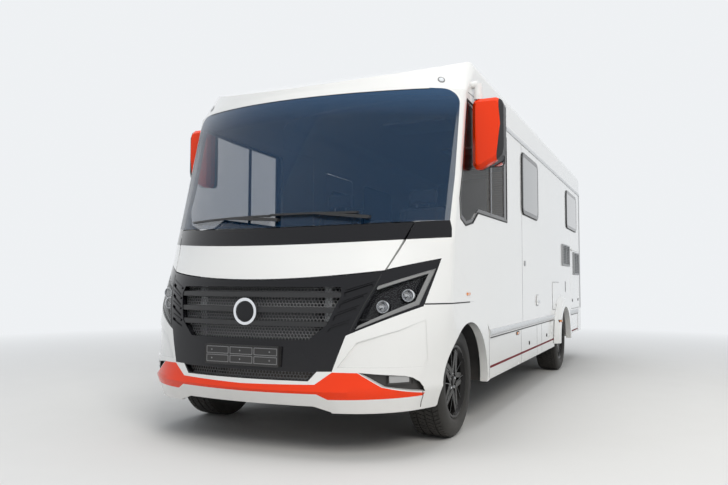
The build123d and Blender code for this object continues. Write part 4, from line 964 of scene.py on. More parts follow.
def tyre_profile():
    """The carcass from bead to bead, as (reach, radius) points that start at the outer bead."""
    half = tyre_width / 2
    bead = rim_radius + 0.0008
    right = [(0.0975, bead), (0.0985, bead + 0.015), (half - 0.016, bead + 0.020),
             (half - 0.012, bead + 0.026), (half - 0.006, bead + 0.030), (half - 0.002, bead + 0.048),
             (half, bead + 0.066), (half - 0.001, bead + 0.084), (half - 0.006, tyre_radius - 0.036),
             (half - 0.012, tyre_radius - 0.022), (half - 0.022, tyre_radius - 0.011),
             (half - 0.030, tyre_radius - tread_depth)]
    return right + [(-reach, radius) for reach, radius in reversed(right)]


def tread_row():
    """One row of four slanted blocks at the top of the tyre. The outer blocks fall away at the shoulder."""
    shape = bmesh.new()
    pitch = 2 * pi * tyre_radius / tread_rows
    shoulder, shoulder_drop, middle_drop = 0.09, 0.0035, 0.0006
    for low, high, slant in ((-0.098, -0.060, 0.9), (-0.051, -0.006, -0.7), (0.006, 0.051, -0.7),
                             (0.060, 0.098, 0.9)):
        skew = slant * pitch * 0.35
        outline = [(low, -0.44 * pitch - skew), (high, -0.44 * pitch + skew),
                   (high, 0.44 * pitch + skew), (low, 0.44 * pitch - skew)]
        bottom = [shape.verts.new((a, b, tyre_radius - tread_depth - 0.003)) for a, b in outline]
        top = [shape.verts.new((a * 0.985, b * 0.93,
                                tyre_radius - (shoulder_drop if abs(a) > shoulder else middle_drop)))
               for a, b in outline]
        shape.faces.new(top)
        for i in range(4):
            shape.faces.new((bottom[i - 1], bottom[i], top[i], top[i - 1]))
    return shape


for name, (x, y, side) in wheels.items():
    carcass = bmesh.new()
    add_turned(carcass, tyre_profile(), (x, y, axle_height), (side, 0, 0), 96, closed=True)
    add_piece(f"tyre_body_{name}", carcass, rubber, f"wheel_{name}", replaced=[f"tyre_{name}"], sharp=50)
    tread = repeat(tread_row(), ring_tree, rubber, Count=tread_rows, Centre=(x, y, axle_height))
    add_piece(f"tyre_tread_{name}", tread, rubber, f"wheel_{name}", sharp=30)
print("tyres", tread_rows, "rows of blocks each")

# %% [markdown]
# The black alloy wheels keep their packed form. They gain what a packed wheel leaves out: diamond-cut bright
# lines along the twin spokes, bolts in their pockets, a plain centre cap, the rim's rolled edge and a valve.

# %% Wheel details
spoke_face = 0.094
spoke_middle = 0.130


def spoke_lines():
    """Two thin bright lines on the outer edges of one pair of spokes, the pair being at the top."""
    shape = bmesh.new()
    for turn in (-1, 1):
        lean = radians(-turn * 7)
        corners = []
        for reach, across in ((0.060, 0.0140), (0.208, 0.0140), (0.208, 0.0164), (0.060, 0.0164)):
            along, sideways = reach - spoke_middle, turn * across
            corners.append((turn * 0.026 + sideways * cos(lean) - along * sin(lean),
                            spoke_middle + along * cos(lean) + sideways * sin(lean)))
        add_prism(shape, corners, "X", spoke_face - 0.002, spoke_face + 0.0012)
    return shape


def wheel_bolt():
    shape = bmesh.new()
    add_turned(shape, [(0.052, 0), (0.052, 0.0105), (0.0895, 0.0105), (0.0915, 0.0085), (0.0915, 0.0045),
                       (0.0885, 0.0040), (0.0885, 0)], (0, 0, 0.054), (1, 0, 0), 12)
    return shape


def turned_side(shape, side):
    """Mirrors a wheel's shape for the right side, where the outer face looks along -X."""
    if side < 0:
        for vertex in shape.verts:
            vertex.co.x = -vertex.co.x
    return shape


for name, (x, y, side) in wheels.items():
    body = f"wheel_{name}"
    centre = (x, y, axle_height)
    lines = repeat(turned_side(spoke_lines(), side), ring_tree, machined, Count=5, Centre=centre)
    add_piece(f"spoke_lines_{name}", lines, machined, body)
    bolts = repeat(turned_side(wheel_bolt(), side), ring_tree, chrome, Count=5, Centre=centre)
    add_piece(f"wheel_bolts_{name}", bolts, chrome, body)
    cap = bmesh.new()
    add_turned(cap, [(0.085, 0), (0.085, 0.032), (0.0925, 0.032), (0.0950, 0.029), (0.0965, 0.020),
                     (0.0970, 0)], centre, (side, 0, 0), 40)
    add_piece(f"centre_cap_{name}", cap, rim_black, body, bevel=0.0008)
    ring = bmesh.new()
    add_turned(ring, [(0.1076, 0.2270), (0.1090, 0.2290), (0.1090, 0.2385), (0.1076, 0.2400)],
               centre, (side, 0, 0), 96, closed=True)
    add_piece(f"rim_edge_{name}", ring, rim_black, body)
    stem = bmesh.new()
    add_bar(stem, (x + side * 0.070, y + 0.010, axle_height + 0.2085),
            (x + side * 0.098, y + 0.010, axle_height + 0.196), 0.0045, 8)
    add_piece(f"tyre_valve_{name}", stem, seal_black, body)
print("lines, bolts, caps and valves on", len(wheels), "wheels")

# %% [markdown]
# A vented disc is two rings with a gap between them, on a raised hat that bolts to the hub. Its section is
# turned in one closed profile. The caliper sits behind the axle in front and ahead of it at the rear, and it
# stays with what carries the wheel: the steering knuckle or the rear axle.

# %% Brakes
disc_face = -0.046
for name, (x, y, side) in wheels.items():
    disc = bmesh.new()
    add_turned(disc, [(disc_face - 0.020, 0.055), (disc_face - 0.020, 0.150), (disc_face - 0.013, 0.150),
                      (disc_face - 0.013, 0.146), (disc_face - 0.007, 0.146), (disc_face - 0.007, 0.150),
                      (disc_face - 0.0005, 0.150), (disc_face - 0.0005, 0.084), (disc_face + 0.016, 0.078),
                      (disc_face + 0.016, 0.063), (disc_face + 0.001, 0.063), (disc_face + 0.001, 0.055)],
               (x, y, axle_height), (side, 0, 0), 64, closed=True)
    add_piece(f"brake_disc_{name}", disc, brake_iron, f"wheel_{name}")
    caliper = bmesh.new()
    end, side_name = name.split("_")
    back = -1 if end == "rear" else 1
    arc = [(back * (0.075 + 0.098 * cos(radians(t))), 0.120 * sin(radians(t))) for t in (-52, -26, 0, 26, 52)]
    arc += [(back * 0.075, 0.070), (back * 0.075, -0.070)]
    outline = [(y + a, axle_height + b) for a, b in arc]
    low, high = sorted((x + side * (disc_face - 0.052), x + side * (disc_face - 0.023)))
    add_prism(caliper, outline, "X", low, high)
    holder = f"knuckle_{side_name}" if end == "front" else "body"
    add_piece(f"brake_caliper_{name}", caliper, steel_painted, holder, bevel=0.006)
print("brakes behind", len(wheels), "wheels")

# %% [markdown]
# The front carries a plain ring as its emblem, and a blank plate field whose holder is stiffened by ribs and
# held by small screws.

# %% Emblem and plate field
emblem_height = 0.855
emblem = bmesh.new()
add_turned(emblem, [(0, 0), (0, 0.0635), (0.0018, 0.0635), (0.0034, 0.052), (0.0042, 0.030), (0.0045, 0)],
           (0, nose_y + 0.0418, emblem_height), (0, -1, 0), 64)
add_piece("emblem_disc", emblem, gloss_black)

holder_ribs = bmesh.new()
rib_heights = (0.5695, 0.6205)
for x in (-0.172, 0.0, 0.172):
    for z in rib_heights:
        add_frame(holder_ribs, round_outline((x - 0.081, z - 0.022), (x + 0.081, z + 0.022), 0.004, 3),
                  round_outline((x - 0.077, z - 0.018), (x + 0.077, z + 0.018), 0.003, 3),
                  "Y", nose_y + 0.0045, nose_y + 0.0022)
for x in (-0.215, -0.01, 0.2):
    for z in rib_heights:
        add_turned(holder_ribs, [(0, 0), (0, 0.0055), (0.0018, 0.0045), (0.0018, 0)], (x, nose_y + 0.0042, z),
                   (0, -1, 0), 16)
add_piece("plate_holder_ribs", holder_ribs, grey_lightened_for_shade)
print("emblem at", emblem_height, "m and plate ribs at", rib_heights)

# %% [markdown]
# Behind each clear headlamp lens sit two round projectors. A projector is a bright bezel, a bowl that
# reflects and a clear dome, all turned about the same axis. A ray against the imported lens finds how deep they
# may sit.

# %% Headlamps
lamp_places = [(0.800, 0.888), (0.915, 0.955)]
for side, side_name in sides:
    bezels, domes, bowls = bmesh.new(), bmesh.new(), bmesh.new()
    for x, z in lamp_places:
        front, _ = from_front(side * x, z, "headlamp_lenses")
        centre = front + Vector((0, 0.034, 0))
        aim = (side * 0.10, -1, 0)
        add_turned(bezels, [(-0.040, 0.0340), (-0.040, 0.0395), (0.004, 0.0395), (0.008, 0.0375),
                            (0.008, 0.0335), (-0.004, 0.0300), (-0.040, 0.0300)],
                   centre, aim, 48, closed=True)
        add_turned(bowls, [(-0.036, 0), (-0.036, 0.0295), (-0.006, 0.0295), (-0.012, 0.020), (-0.022, 0.010),
                           (-0.024, 0)], centre, aim, 48)
        add_turned(domes, [(-0.006, 0), (-0.006, 0.0288), (-0.001, 0.0288), (0.006, 0.024), (0.011, 0.015),
                           (0.0135, 0.007), (0.0142, 0)], centre, aim, 48)
    add_piece(f"lamp_bezels_{side_name}", bezels, chrome, replaced=["headlamp_projectors"])
    add_piece(f"lamp_bowls_{side_name}", bowls, chrome)
    add_piece(f"lamp_domes_{side_name}", domes, lens_glass)
    lamp_fins = bmesh.new()
    for x0, x1, z in ((0.700, 0.752, 0.812), (0.700, 0.760, 0.836), (0.712, 0.775, 0.930),
                      (0.730, 0.800, 0.956)):
        start, _ = from_front(side * x0, z, "headlamp_lenses")
        end, _ = from_front(side * x1, z + 0.012, "headlamp_lenses")
        if start is None or end is None:
            continue
        add_prism(lamp_fins, [(start.x, start.y + 0.022), (end.x, end.y + 0.022), (end.x, end.y + 0.060),
                              (start.x, start.y + 0.060)], "Z", z - 0.003, z + 0.003)
    add_piece(f"lamp_fins_{side_name}", lamp_fins, satin_black, bevel=0.0012)
print("projectors placed at", lamp_places)

# %% [markdown]
# Small lamps complete the front: a clear one high on each side of the roof cap, an amber one on each flank
# above the wheel, and a fog lamp in each corner of the bumper. Round ones are turned about the direction in
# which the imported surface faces, and long ones are strips that follow it.

# %% Small lamps
for side, side_name in sides:
    marker, facing = from_front(side * 0.958, 2.419, "roof_cap")
    cap_lamp, lamp_seat = bmesh.new(), bmesh.new()
    add_turned(cap_lamp, [(-0.004, 0), (-0.004, 0.018), (0.004, 0.018), (0.007, 0.012), (0.008, 0)],
               marker, facing, 32)
    add_turned(lamp_seat, [(-0.006, 0.0175), (-0.006, 0.026), (0.002, 0.026), (0.004, 0.023),
                           (0.004, 0.0175)], marker, facing, 32, closed=True)
    add_piece(f"cap_lamp_{side_name}", cap_lamp, white_lens)
    add_piece(f"cap_lamp_seat_{side_name}", lamp_seat, grey_lightened_for_shade)
    repeater = bmesh.new()
    side_strip(repeater, side, [(behind(-0.045), 0.958), (behind(0.030), 0.958)], 0.020, 0.006,
               "cab_sides", spacing=0.015)
    add_piece(f"side_repeater_{side_name}", repeater, amber_lens, bevel=0.002)
    fog = bmesh.new()
    front_strip(fog, [(side * 0.850, 0.466), (side * 0.936, 0.466)], 0.040, 0.005, "fog_lamps")
    add_piece(f"fog_lens_{side_name}", fog, lit_white, bevel=0.002)
print("cap lamps at a height of", round(marker.z, 3), "m")

# %% [markdown]
# The black cheeks beside the grille have four raised ribs each, which carry the line of its slats outwards.

# %% Ribs of the cheeks
cheeks = bmesh.new()
for side in (1, -1):
    for start, end in (((0.604, 0.990), (0.752, 1.044)), ((0.592, 0.924), (0.724, 0.976)),
                       ((0.572, 0.858), (0.690, 0.904)), ((0.546, 0.784), (0.652, 0.822))):
        front_strip(cheeks, [(side * start[0], start[1]), (side * end[0], end[1])], 0.013, 0.007,
                    "grille_surround")
add_piece("cheek_fins", cheeks, gloss_black, bevel=0.002)

# %% [markdown]
# Where two panels meet there is a dark joint, sealed or open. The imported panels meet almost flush, so each
# joint is a thin dark strip laid on the surface, which reads as a fine black line.

# %% Joints and seals
cab_end_y = behind(1.780)
cap_end_y = behind(1.170)
bumper_top, skirt_top, cap_bottom = 0.9035, 0.6235, 2.3495
joints = bmesh.new()
for side, side_name in sides:
    side_strip(joints, side, [(behind(-0.46), bumper_top), (behind(0.030), bumper_top)],
               0.008, 0.0009, "cab_sides", "bumper")
    front_strip(joints, [(side * 1.000, bumper_top), (side * 1.090, bumper_top)],
                0.008, 0.0009, "cab_sides", "bumper", spacing=0.01)
    front_strip(joints,
                [(side * 0.994, 0.384), (side * 0.990, 0.355), (side * 0.977, 0.318), (side * 0.969, 0.286)],
                0.006, 0.0008, "bumper", spacing=0.008)
    front_strip(joints, [(side * 0.784, 1.100), (side * 0.758, 1.010), (side * 0.655, 0.748)],
                0.007, 0.0008, "grille_surround", "headlamp_lenses", "headlamp_housings")
    side_strip(joints, side, [(cab_end_y, 0.690), (cab_end_y, 2.345)],
               0.0040, 0.0006, "cab_sides", f"side_wall_{side_name}")
    side_strip(joints, side, [(cap_end_y + 0.0005, 2.352), (cap_end_y + 0.0005, 2.560)],
               0.0040, 0.0006, "roof_cap", "roof")
    side_strip(joints, side, [(behind(0.02), cap_bottom), (cap_end_y, cap_bottom)],
               0.0045, 0.0006, "roof_cap", "cab_sides")
    for seam_y in (behind(1.72), behind(2.49), behind(2.75)):
        side_strip(joints, side, [(seam_y, 0.617), (seam_y, 0.320)], 0.0045, 0.0006, "skirts")
    for start, end in ((behind(0.565), rear_axle_y - 0.545), (rear_axle_y + 0.545, tail_y - 0.325)):
        side_strip(joints, side, [(start, skirt_top), (end, skirt_top)], 0.009, 0.0008, "skirts")
    side_strip(joints, side, [(behind(0.545), 0.640), (behind(0.545), 0.325)],
               0.0045, 0.0006, "bumper", "skirts")
add_piece("panel_joints", joints, seal_black)
print("joints end at the cab's and the cap's rear edges,", round(cab_end_y, 3), "and", round(cap_end_y, 3))

# %% [markdown]
# One thin dark red line of film runs along the skirts on both sides, interrupted by the rear wheel's arch.

# %% Line on the skirts
skirt_line = bmesh.new()
for side in (1, -1):
    for start, end in ((behind(0.552), rear_axle_y - 0.535), (rear_axle_y + 0.535, tail_y - 0.325)):
        side_strip(skirt_line, side, [(start, 0.405), (end, 0.405)], 0.018, 0.0006, "skirts")
add_piece("skirt_line", skirt_line, line_red)
print("skirt line ends", round(tail_y - 0.325, 3), "m along the vehicle")

# %% [markdown]
# The roof cap's lower edge hangs in a shallow arc over the windscreen, lowest in the middle. The imported cap
# ends in a straight edge, so a thin lip is laid on the glass below it, with a black strip along its own lower
# edge that is a painted shadow of the cap. Rows of points across the lip are found by rays and joined into a
# tube.

# %% Lip of the roof cap
lip_places = [0.030 * (i - 30) for i in range(61)]


def lip_drop(x):
    """How far the lip comes down at x: 46 mm in the middle and nothing at the corners."""
    return 0.046 * (1 - (x / 0.92) ** 2)


cap_lip = bmesh.new()
lip_rows = []
for x in lip_places:
    drop = 0.002 + lip_drop(x)
    hits = [from_front(x, side_top - 0.001 - drop * part, "windshield") for part in (0.0, 0.5, 1.0)]
    outer = [place + 0.0030 * facing for place, facing in hits]
    inner = [place - 0.0005 * facing for place, facing in reversed(hits)]
    lip_rows.append([cap_lip.verts.new(place) for place in outer + inner])
add_tube(cap_lip, lip_rows)
add_piece("cap_lower_lip", cap_lip, body_white)
# The black strip under the lip is a painted shadow of the cap's edge, not a seal.
lip_shadow_strip = bmesh.new()
add_found_strip(lip_shadow_strip, [from_front(x, side_top - 0.004 - lip_drop(x), "windshield") for x in lip_places],
                0.005, 0.0022)
add_piece("cap_lip_seal", lip_shadow_strip, seal_black)
print("lip over the windscreen from", len(lip_rows), "rows of points")

# %% [markdown]
# Satin aluminium rails cover the corners where roof, walls and rear wall meet, and one more runs along the
# sill above the skirts. They are plain extrusions, so prisms with a small bevel make them.

# %% Rails
def on_wall(side, inner, outer):
    """Two places across the vehicle, in order, at distances outwards from a side wall's plane."""
    return sorted((side * (half_width + inner), side * (half_width + outer)))


roof_rail = bmesh.new()
for side in (1, -1):
    low, high = on_wall(side, 0, 0.007)
    add_block(roof_rail, (low, cap_end_y + 0.002, 2.322), (high, tail_y - 0.036, 2.354))
add_piece("roof_edge_rails", roof_rail, rail_silver, bevel=0.0025)
corner_rail = bmesh.new()
for side in (1, -1):
    low, high = on_wall(side, -0.030, 0.006)
    add_block(corner_rail, (low, tail_y - 0.0347, 0.690), (high, tail_y - 0.029, 2.340))
    low, high = on_wall(side, 0, 0.006)
    add_block(corner_rail, (low, tail_y - 0.070, 0.690), (high, tail_y - 0.030, 2.320))
add_piece("rear_corner_rails", corner_rail, rail_silver, bevel=0.0025)

sill_rail = bmesh.new()
sill_section = [(1.1135, 0.634), (1.1200, 0.640), (1.1220, 0.652), (1.1210, 0.668), (1.1180, 0.680),
                (1.1135, 0.6838)]
for side in (1, -1):
    for low_y, high_y in ((behind(0.565), rear_axle_y - 0.525), (rear_axle_y + 0.525, tail_y - 0.325)):
        add_prism(sill_rail, [(side * a, b) for a, b in sill_section], "Y", low_y, high_y)
add_piece("sill_rails", sill_rail, rail_silver, sharp=60)
print("rails on the roof's edges, the rear corners and the sills")

# %% [markdown]
# Seen from the side, the cab's glass is framed in black: a printed border inside the pane, a rubber seal
# round it, a dark divider and a broad rear border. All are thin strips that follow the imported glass. The
# border lies a little inside the window's line and the seal a little outside it.

# %% Cab windows
cab_window = [(-0.010, 2.290), (-0.140, 1.760), (-0.200, 1.590), (-0.180, 1.460), (-0.060, 1.422),
              (0.120, 1.455), (0.260, 1.536), (1.170, 1.545), (1.170, 2.255), (0.400, 2.270), (-0.010, 2.290)]
cab_middle = (0.5, 1.88)


def window_line(inset):
    """The cab window's line, moved towards its middle by inset."""
    middle_y, middle_z = cab_middle
    return [(behind(a) + (inset if a < middle_y else -inset), b + (inset if b < middle_z else -inset))
            for a, b in cab_window]


borders, cab_seal = bmesh.new(), bmesh.new()
for side in (1, -1):
    side_strip(borders, side, window_line(0.014), 0.028, 0.0015, "side_windows")
    side_strip(borders, side, [(behind(0.645), 1.552), (behind(0.645), 2.258)],
               0.042, 0.0022, "side_windows")
    side_strip(borders, side, [(behind(1.122), 1.556), (behind(1.122), 2.246)],
               0.088, 0.0018, "side_windows")
    side_strip(cab_seal, side, window_line(-0.004), 0.010, 0.0025, "cab_sides", "side_windows")
add_piece("cab_window_borders", borders, gloss_black)
add_piece("cab_window_seals", cab_seal, seal_black)
print("cab windows framed along", len(cab_window) - 1, "corners")

# %% [markdown]
# The living space has hinged windows that stand proud of the wall. Each gets a black border on the pane and a
# seal between the pane and the wall, as frames between two rounded rectangles.

# %% Living space windows
living_windows = [(1, 1.800, 2.540, 1.700, 2.225), (1, 4.600, 5.490, 1.785, 2.225),
                  (-1, 3.050, 3.950, 1.700, 2.225), (-1, 4.600, 5.490, 1.785, 2.225)]
pane_borders, pane_seals = bmesh.new(), bmesh.new()
for side, start, end, bottom, top in living_windows:
    corners = (behind(start), bottom), (behind(end), top)
    face = on_wall(side, 0.0115, 0.0128)
    add_frame(pane_borders, round_outline(*corners, 0.070, 6, grown=0.020),
              round_outline(*corners, 0.045, 6, grown=-0.014), "X", *face)
    face = on_wall(side, 0, 0.0085)
    add_frame(pane_seals, round_outline(*corners, 0.078, 6, grown=0.030),
              round_outline(*corners, 0.070, 6, grown=0.0205), "X", *face)
add_piece("window_borders", pane_borders, gloss_black)
add_piece("window_seals", pane_seals, seal_black, bevel=0.0015)
print("living space windows framed:", len(living_windows))

# %% [markdown]
# Plastic vents let the refrigerator and the gas locker breathe. Each is a frame round a bank of slanted
# louvres. The louvres repeat, so the row tree makes them; the lower one sits on the garage door and opens
# with it.

# %% Vents
def louvre(side, width, pitch):
    """One slanted slat, lowest at its outer edge so that rain runs off."""
    shape = bmesh.new()
    outer, inner = side * (half_width + 0.013), side * (half_width + 0.001)
    outline = [(inner, pitch * 0.72), (inner, pitch * 0.80), (outer, pitch * 0.16), (outer, 0.0)]
    add_prism(shape, outline, "Y", -width / 2, width / 2)
    return shape


def add_vent(name, side, low, high, count, body="body"):
    """A frame with a middle bar and corner screws, two banks of louvres and, behind them, a dark sheet of
    painted shade.
    """
    edge, columns = 0.020, 2
    surround = bmesh.new()
    face = on_wall(side, 0.0006, 0.015)
    add_frame(surround, round_outline(low, high, 0.016), round_outline(low, high, 0.006, grown=-edge),
              "X", *face)
    inner = (high[0] - low[0] - 2 * edge) / columns
    for i in range(1, columns):
        middle = low[0] + edge + inner * i
        add_block(surround, (face[0], middle - 0.005, low[1] + 0.018),
                  (face[1], middle + 0.005, high[1] - 0.018))
    for y in (low[0] + 0.010, high[0] - 0.010):
        for z in (low[1] + 0.012, high[1] - 0.012):
            add_turned(surround, [(0, 0), (0, 0.0042), (0.0016, 0.0030), (0.0016, 0)],
                       (side * (half_width + 0.0148), y, z), (side, 0, 0), 12)
    add_piece(f"{name}_frame", surround, vent_grey, body, bevel=0.002)
    pitch = (high[1] - low[1] - 2 * edge) / count
    for i in range(columns):
        middle = low[0] + edge + inner * (i + 0.5)
        bank = repeat(louvre(side, inner - 0.006, pitch), row_tree, vent_grey, Count=count,
                      Start=(0, middle, low[1] + edge), Step=(0, 0, pitch))
        add_piece(f"{name}_louvres_{i + 1}", bank, vent_grey, body)
    # The dark sheet behind the louvres is painted shade: it stands for the unlit inside of the vent.
    back = bmesh.new()
    face = on_wall(side, 0.0005, 0.0012)
    add_prism(back, round_outline(low, high, 0.004, grown=-0.016), "X", *face)
    add_piece(f"{name}_shade", back, satin_black, body)


vents = (("refrigerator_vent", 1, (4.200, 1.260), (4.790, 1.530), 11, "body"),
         ("garage_vent", 1, (5.220, 1.160), (5.720, 1.470), 13, "garage_door_left"),
         ("heater_vent", -1, (4.020, 1.120), (4.420, 1.300), 8, "body"))
for name, side, low, high, count, body in vents:
    add_vent(name, side, (behind(low[0]), low[1]), (behind(high[0]), high[1]), count, body)
print("vents", [vent[0] for vent in vents])

# %% [markdown]
# Round locks hold the skirts' flaps, the service flap and the garage doors. A lock is a turned disc with a
# raised rim and a slot for the key, set on whatever panel a ray from the side meets there. Those of a door
# open with it.

# %% Locks
def add_lock(shape, side, y, z, radius):
    place, _ = from_side(side, y, z, "skirts", "side_wall_left", "side_wall_right", "garage_door_left",
                         "garage_door_right")
    x = place.x - side * 0.001
    add_turned(shape, [(0, 0), (0, radius), (0.0035, radius), (0.0055, radius - 0.003),
                       (0.0055, radius * 0.55), (0.0035, radius * 0.50), (0.0035, 0)],
               (x, y, z), (side, 0, 0), 28)
    low, high = sorted((x + side * 0.0034, x + side * 0.0046))
    add_block(shape, (low, y - 0.0012, z - radius * 0.35), (high, y + 0.0012, z + radius * 0.35))


skirt_locks, wall_locks = bmesh.new(), bmesh.new()
for side in (1, -1):
    for y, z in ((2.09, 0.469), (3.05, 0.478)):
        add_lock(skirt_locks, side, behind(y), z, 0.019)
add_piece("skirt_locks", skirt_locks, seal_black)
add_lock(wall_locks, 1, behind(3.667), 0.788, 0.018)
add_piece("service_lock", wall_locks, seal_black)
for side, side_name in sides:
    garage_locks = bmesh.new()
    for y in (5.08, 5.65):
        add_lock(garage_locks, side, behind(y), 0.812, 0.020)
    add_piece(f"garage_locks_{side_name}", garage_locks, seal_black, f"garage_door_{side_name}")
print("locks on the skirts, the service flap and both garage doors")

# %% [markdown]
# The left wall has a service flap, a filler cover with a key, a slot drain and a socket cover. Each is a
# rounded panel slightly proud of the wall, so one helper places them all from a low and a high corner.

# %% Service flaps
wall_inside = half_width - 0.001


def wall_panel(shape, low, high, radius, proud):
    """Adds a rounded panel on the left wall. A corner is a distance behind the front axle and a height."""
    add_prism(shape, round_outline((behind(low[0]), low[1]), (behind(high[0]), high[1]), radius), "X",
              wall_inside, half_width + proud)


flap_seam = bmesh.new()
face = (half_width - 0.0002, half_width + 0.0012)
corners = (behind(3.430), 0.736), (behind(3.900), 1.054)
add_frame(flap_seam, round_outline(*corners, 0.030), round_outline(*corners, 0.026, grown=-0.005), "X", *face)
corners = (behind(2.440), 0.810), (behind(2.570), 0.920)
add_frame(flap_seam, round_outline(*corners, 0.014), round_outline(*corners, 0.011, grown=-0.004), "X", *face)
add_piece("service_seams", flap_seam, seal_black)
flap, filler, key_lock, sockets = bmesh.new(), bmesh.new(), bmesh.new(), bmesh.new()
wall_panel(flap, (3.438, 0.744), (3.892, 1.046), 0.026, 0.0035)
add_piece("service_flap", flap, body_white, bevel=0.0015)
wall_panel(filler, (2.446, 0.816), (2.564, 0.914), 0.012, 0.010)
add_piece("filler_cover", filler, body_white, bevel=0.004)
add_turned(key_lock, [(0, 0), (0, 0.012), (0.004, 0.012), (0.005, 0.009), (0.005, 0)],
           (half_width + 0.0095, behind(2.505), 0.850), (1, 0, 0), 24)
add_block(key_lock, (half_width + 0.014, behind(2.5035), 0.838),
          (half_width + 0.030, behind(2.5065), 0.862))
add_piece("filler_key", key_lock, chrome, bevel=0.001)
wall_panel(sockets, (4.437, 0.930), (4.463, 1.065), 0.0125, 0.004)
wall_panel(sockets, (1.870, 1.196), (1.910, 1.244), 0.010, 0.006)
add_piece("wall_sockets", sockets, vent_grey, bevel=0.0015)
print("service flap, filler, drain and socket on the left wall")

# %% [markdown]
# Amber side markers sit in black seats, low on both sides. Both are strips along the panels, the marker
# narrower and more proud than its seat.

# %% Side markers
markers, marker_seats = bmesh.new(), bmesh.new()
marker_parts = (marker_seats, 0.050, 0.030, 0.004), (markers, 0.044, 0.021, 0.010)
for side in (1, -1):
    for y, z in ((1.57, 0.595), (3.65, 0.603)):
        for shape, reach, width, proud in marker_parts:
            side_strip(shape, side, [(behind(y) - reach, z), (behind(y) + reach, z)], width, proud,
                       "skirts", "arch_flares", "bumper")
add_piece("side_markers", markers, amber_lens, bevel=0.002)
add_piece("side_marker_seats", marker_seats, seal_black, bevel=0.001)

# %% [markdown]
# The entrance door is on the right side, behind the cab. Its handle is a pull on two posts over a shallow
# plate, and its window has a black border. Handle and border ride on the door. The seals of this door and of
# both garage doors stay on the wall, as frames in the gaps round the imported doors.

# %% Entrance door and door seals
handle = bmesh.new()
middle = behind(2.130)
add_prism(handle, round_outline((middle - 0.028, 1.150), (middle + 0.028, 1.370), 0.012), "X",
          -half_width - 0.0110, -wall_inside)
add_prism(handle, round_outline((middle - 0.014, 1.180), (middle + 0.014, 1.340), 0.010), "X",
          -half_width - 0.030, -half_width - 0.022)
for z in (1.192, 1.328):
    add_bar(handle, (-half_width - 0.024, middle, z), (-half_width - 0.009, middle, z), 0.008, 12)
add_piece("entrance_handle", handle, seal_black, "entrance_door", bevel=0.003)
door_border = bmesh.new()
corners = (behind(2.180), 1.420), (behind(2.590), 2.060)
add_frame(door_border, round_outline(*corners, 0.05, grown=0.018),
          round_outline(*corners, 0.03, grown=-0.012), "X", -half_width - 0.0130, -half_width - 0.0112)
add_piece("entrance_window_border", door_border, gloss_black, "entrance_door")
door_seals = bmesh.new()
for side, start, end, bottom, top in ((1, 4.945, 5.770, 0.705, 1.490), (-1, 4.945, 5.770, 0.705, 1.490),
                                      (-1, 2.050, 2.720, 0.700, 2.230)):
    corners = (behind(start), bottom), (behind(end), top)
    face = on_wall(side, -0.0100, -0.0015)
    add_frame(door_seals, round_outline(*corners, 0.030, grown=0.0058),
              round_outline(*corners, 0.028, grown=0.0035), "X", *face)
add_piece("door_seals", door_seals, seal_black)
print("handle, window border and three door seals placed")

# %% [markdown]
# The mirrors carry two panes, a large flat one above a small wide-angle one, both in a black frame that faces
# back.

# %% Mirrors
mirror_x, mirror_y = 1.228, behind(0.1875)
for side, side_name in sides:
    glass, rims = bmesh.new(), bmesh.new()
    for z0, z1 in ((1.995, 2.285), (1.848, 1.970)):
        corners = (side * mirror_x - 0.088, z0), (side * mirror_x + 0.088, z1)
        add_prism(glass, round_outline(*corners, 0.030, 6), "Y", mirror_y, mirror_y + 0.003)
        add_frame(rims, round_outline(*corners, 0.034, 6, grown=0.006),
                  round_outline(*corners, 0.029, 6, grown=-0.001), "Y", mirror_y - 0.0005, mirror_y + 0.005)
    add_piece(f"mirror_glass_{side_name}", glass, mirror_face, bevel=0.001)
    add_piece(f"mirror_rims_{side_name}", rims, satin_black, bevel=0.0012)
print("mirror panes at", round(mirror_x, 3), "m from the middle")

# %% [markdown]
# At the tail, the lamp columns show round chambers in bright rings behind their red lens. A high brake lamp,
# a plate lamp, reflectors and a small camera pod complete the rear wall.

# %% Tail
tail_chambers, tail_lights = bmesh.new(), bmesh.new()
for side in (1, -1):
    for z, radius in ((1.380, 0.052), (1.250, 0.052), (1.120, 0.052), (0.990, 0.052), (0.880, 0.038)):
        centre = (side * 0.995, tail_y - 0.0108, z)
        add_turned(tail_chambers, [(-0.002, radius + 0.006), (0.004, radius + 0.006), (0.006, radius + 0.003),
                                   (0.004, radius), (-0.002, radius)], centre, (0, 1, 0), 40, closed=True)
        add_turned(tail_lights, [(-0.001, 0), (-0.001, radius - 0.001), (0.002, radius - 0.001),
                                 (0.0045, radius * 0.6), (0.0052, 0)], centre, (0, 1, 0), 40)
add_piece("tail_lamp_rings", tail_chambers, chrome)
add_piece("tail_lamp_domes", tail_lights, red_lens)
brake_lamp = bmesh.new()
add_prism(brake_lamp, round_outline((-0.190, 2.268), (0.190, 2.296), 0.010), "Y", tail_y - 0.036,
          tail_y - 0.018)
add_piece("high_brake_lamp", brake_lamp, red_lens, bevel=0.003)
reflectors = bmesh.new()
for side in (1, -1):
    add_prism(reflectors, round_outline((side * 0.92 - 0.055, 0.545), (side * 0.92 + 0.055, 0.580), 0.008, 3),
              "Y", tail_y - 0.003, tail_y + 0.005)
add_piece("rear_reflectors", reflectors, red_lens, bevel=0.0015)
plate_lamp = bmesh.new()
add_prism(plate_lamp, round_outline((-0.060, 0.858), (0.060, 0.876), 0.006), "Y", tail_y - 0.036,
          tail_y - 0.004)
add_piece("plate_lamp", plate_lamp, seal_black, bevel=0.003)
camera_pod = bmesh.new()
add_prism(camera_pod, round_outline((-0.040, 2.302), (0.040, 2.342), 0.012), "Y", tail_y - 0.036,
          tail_y - 0.004)
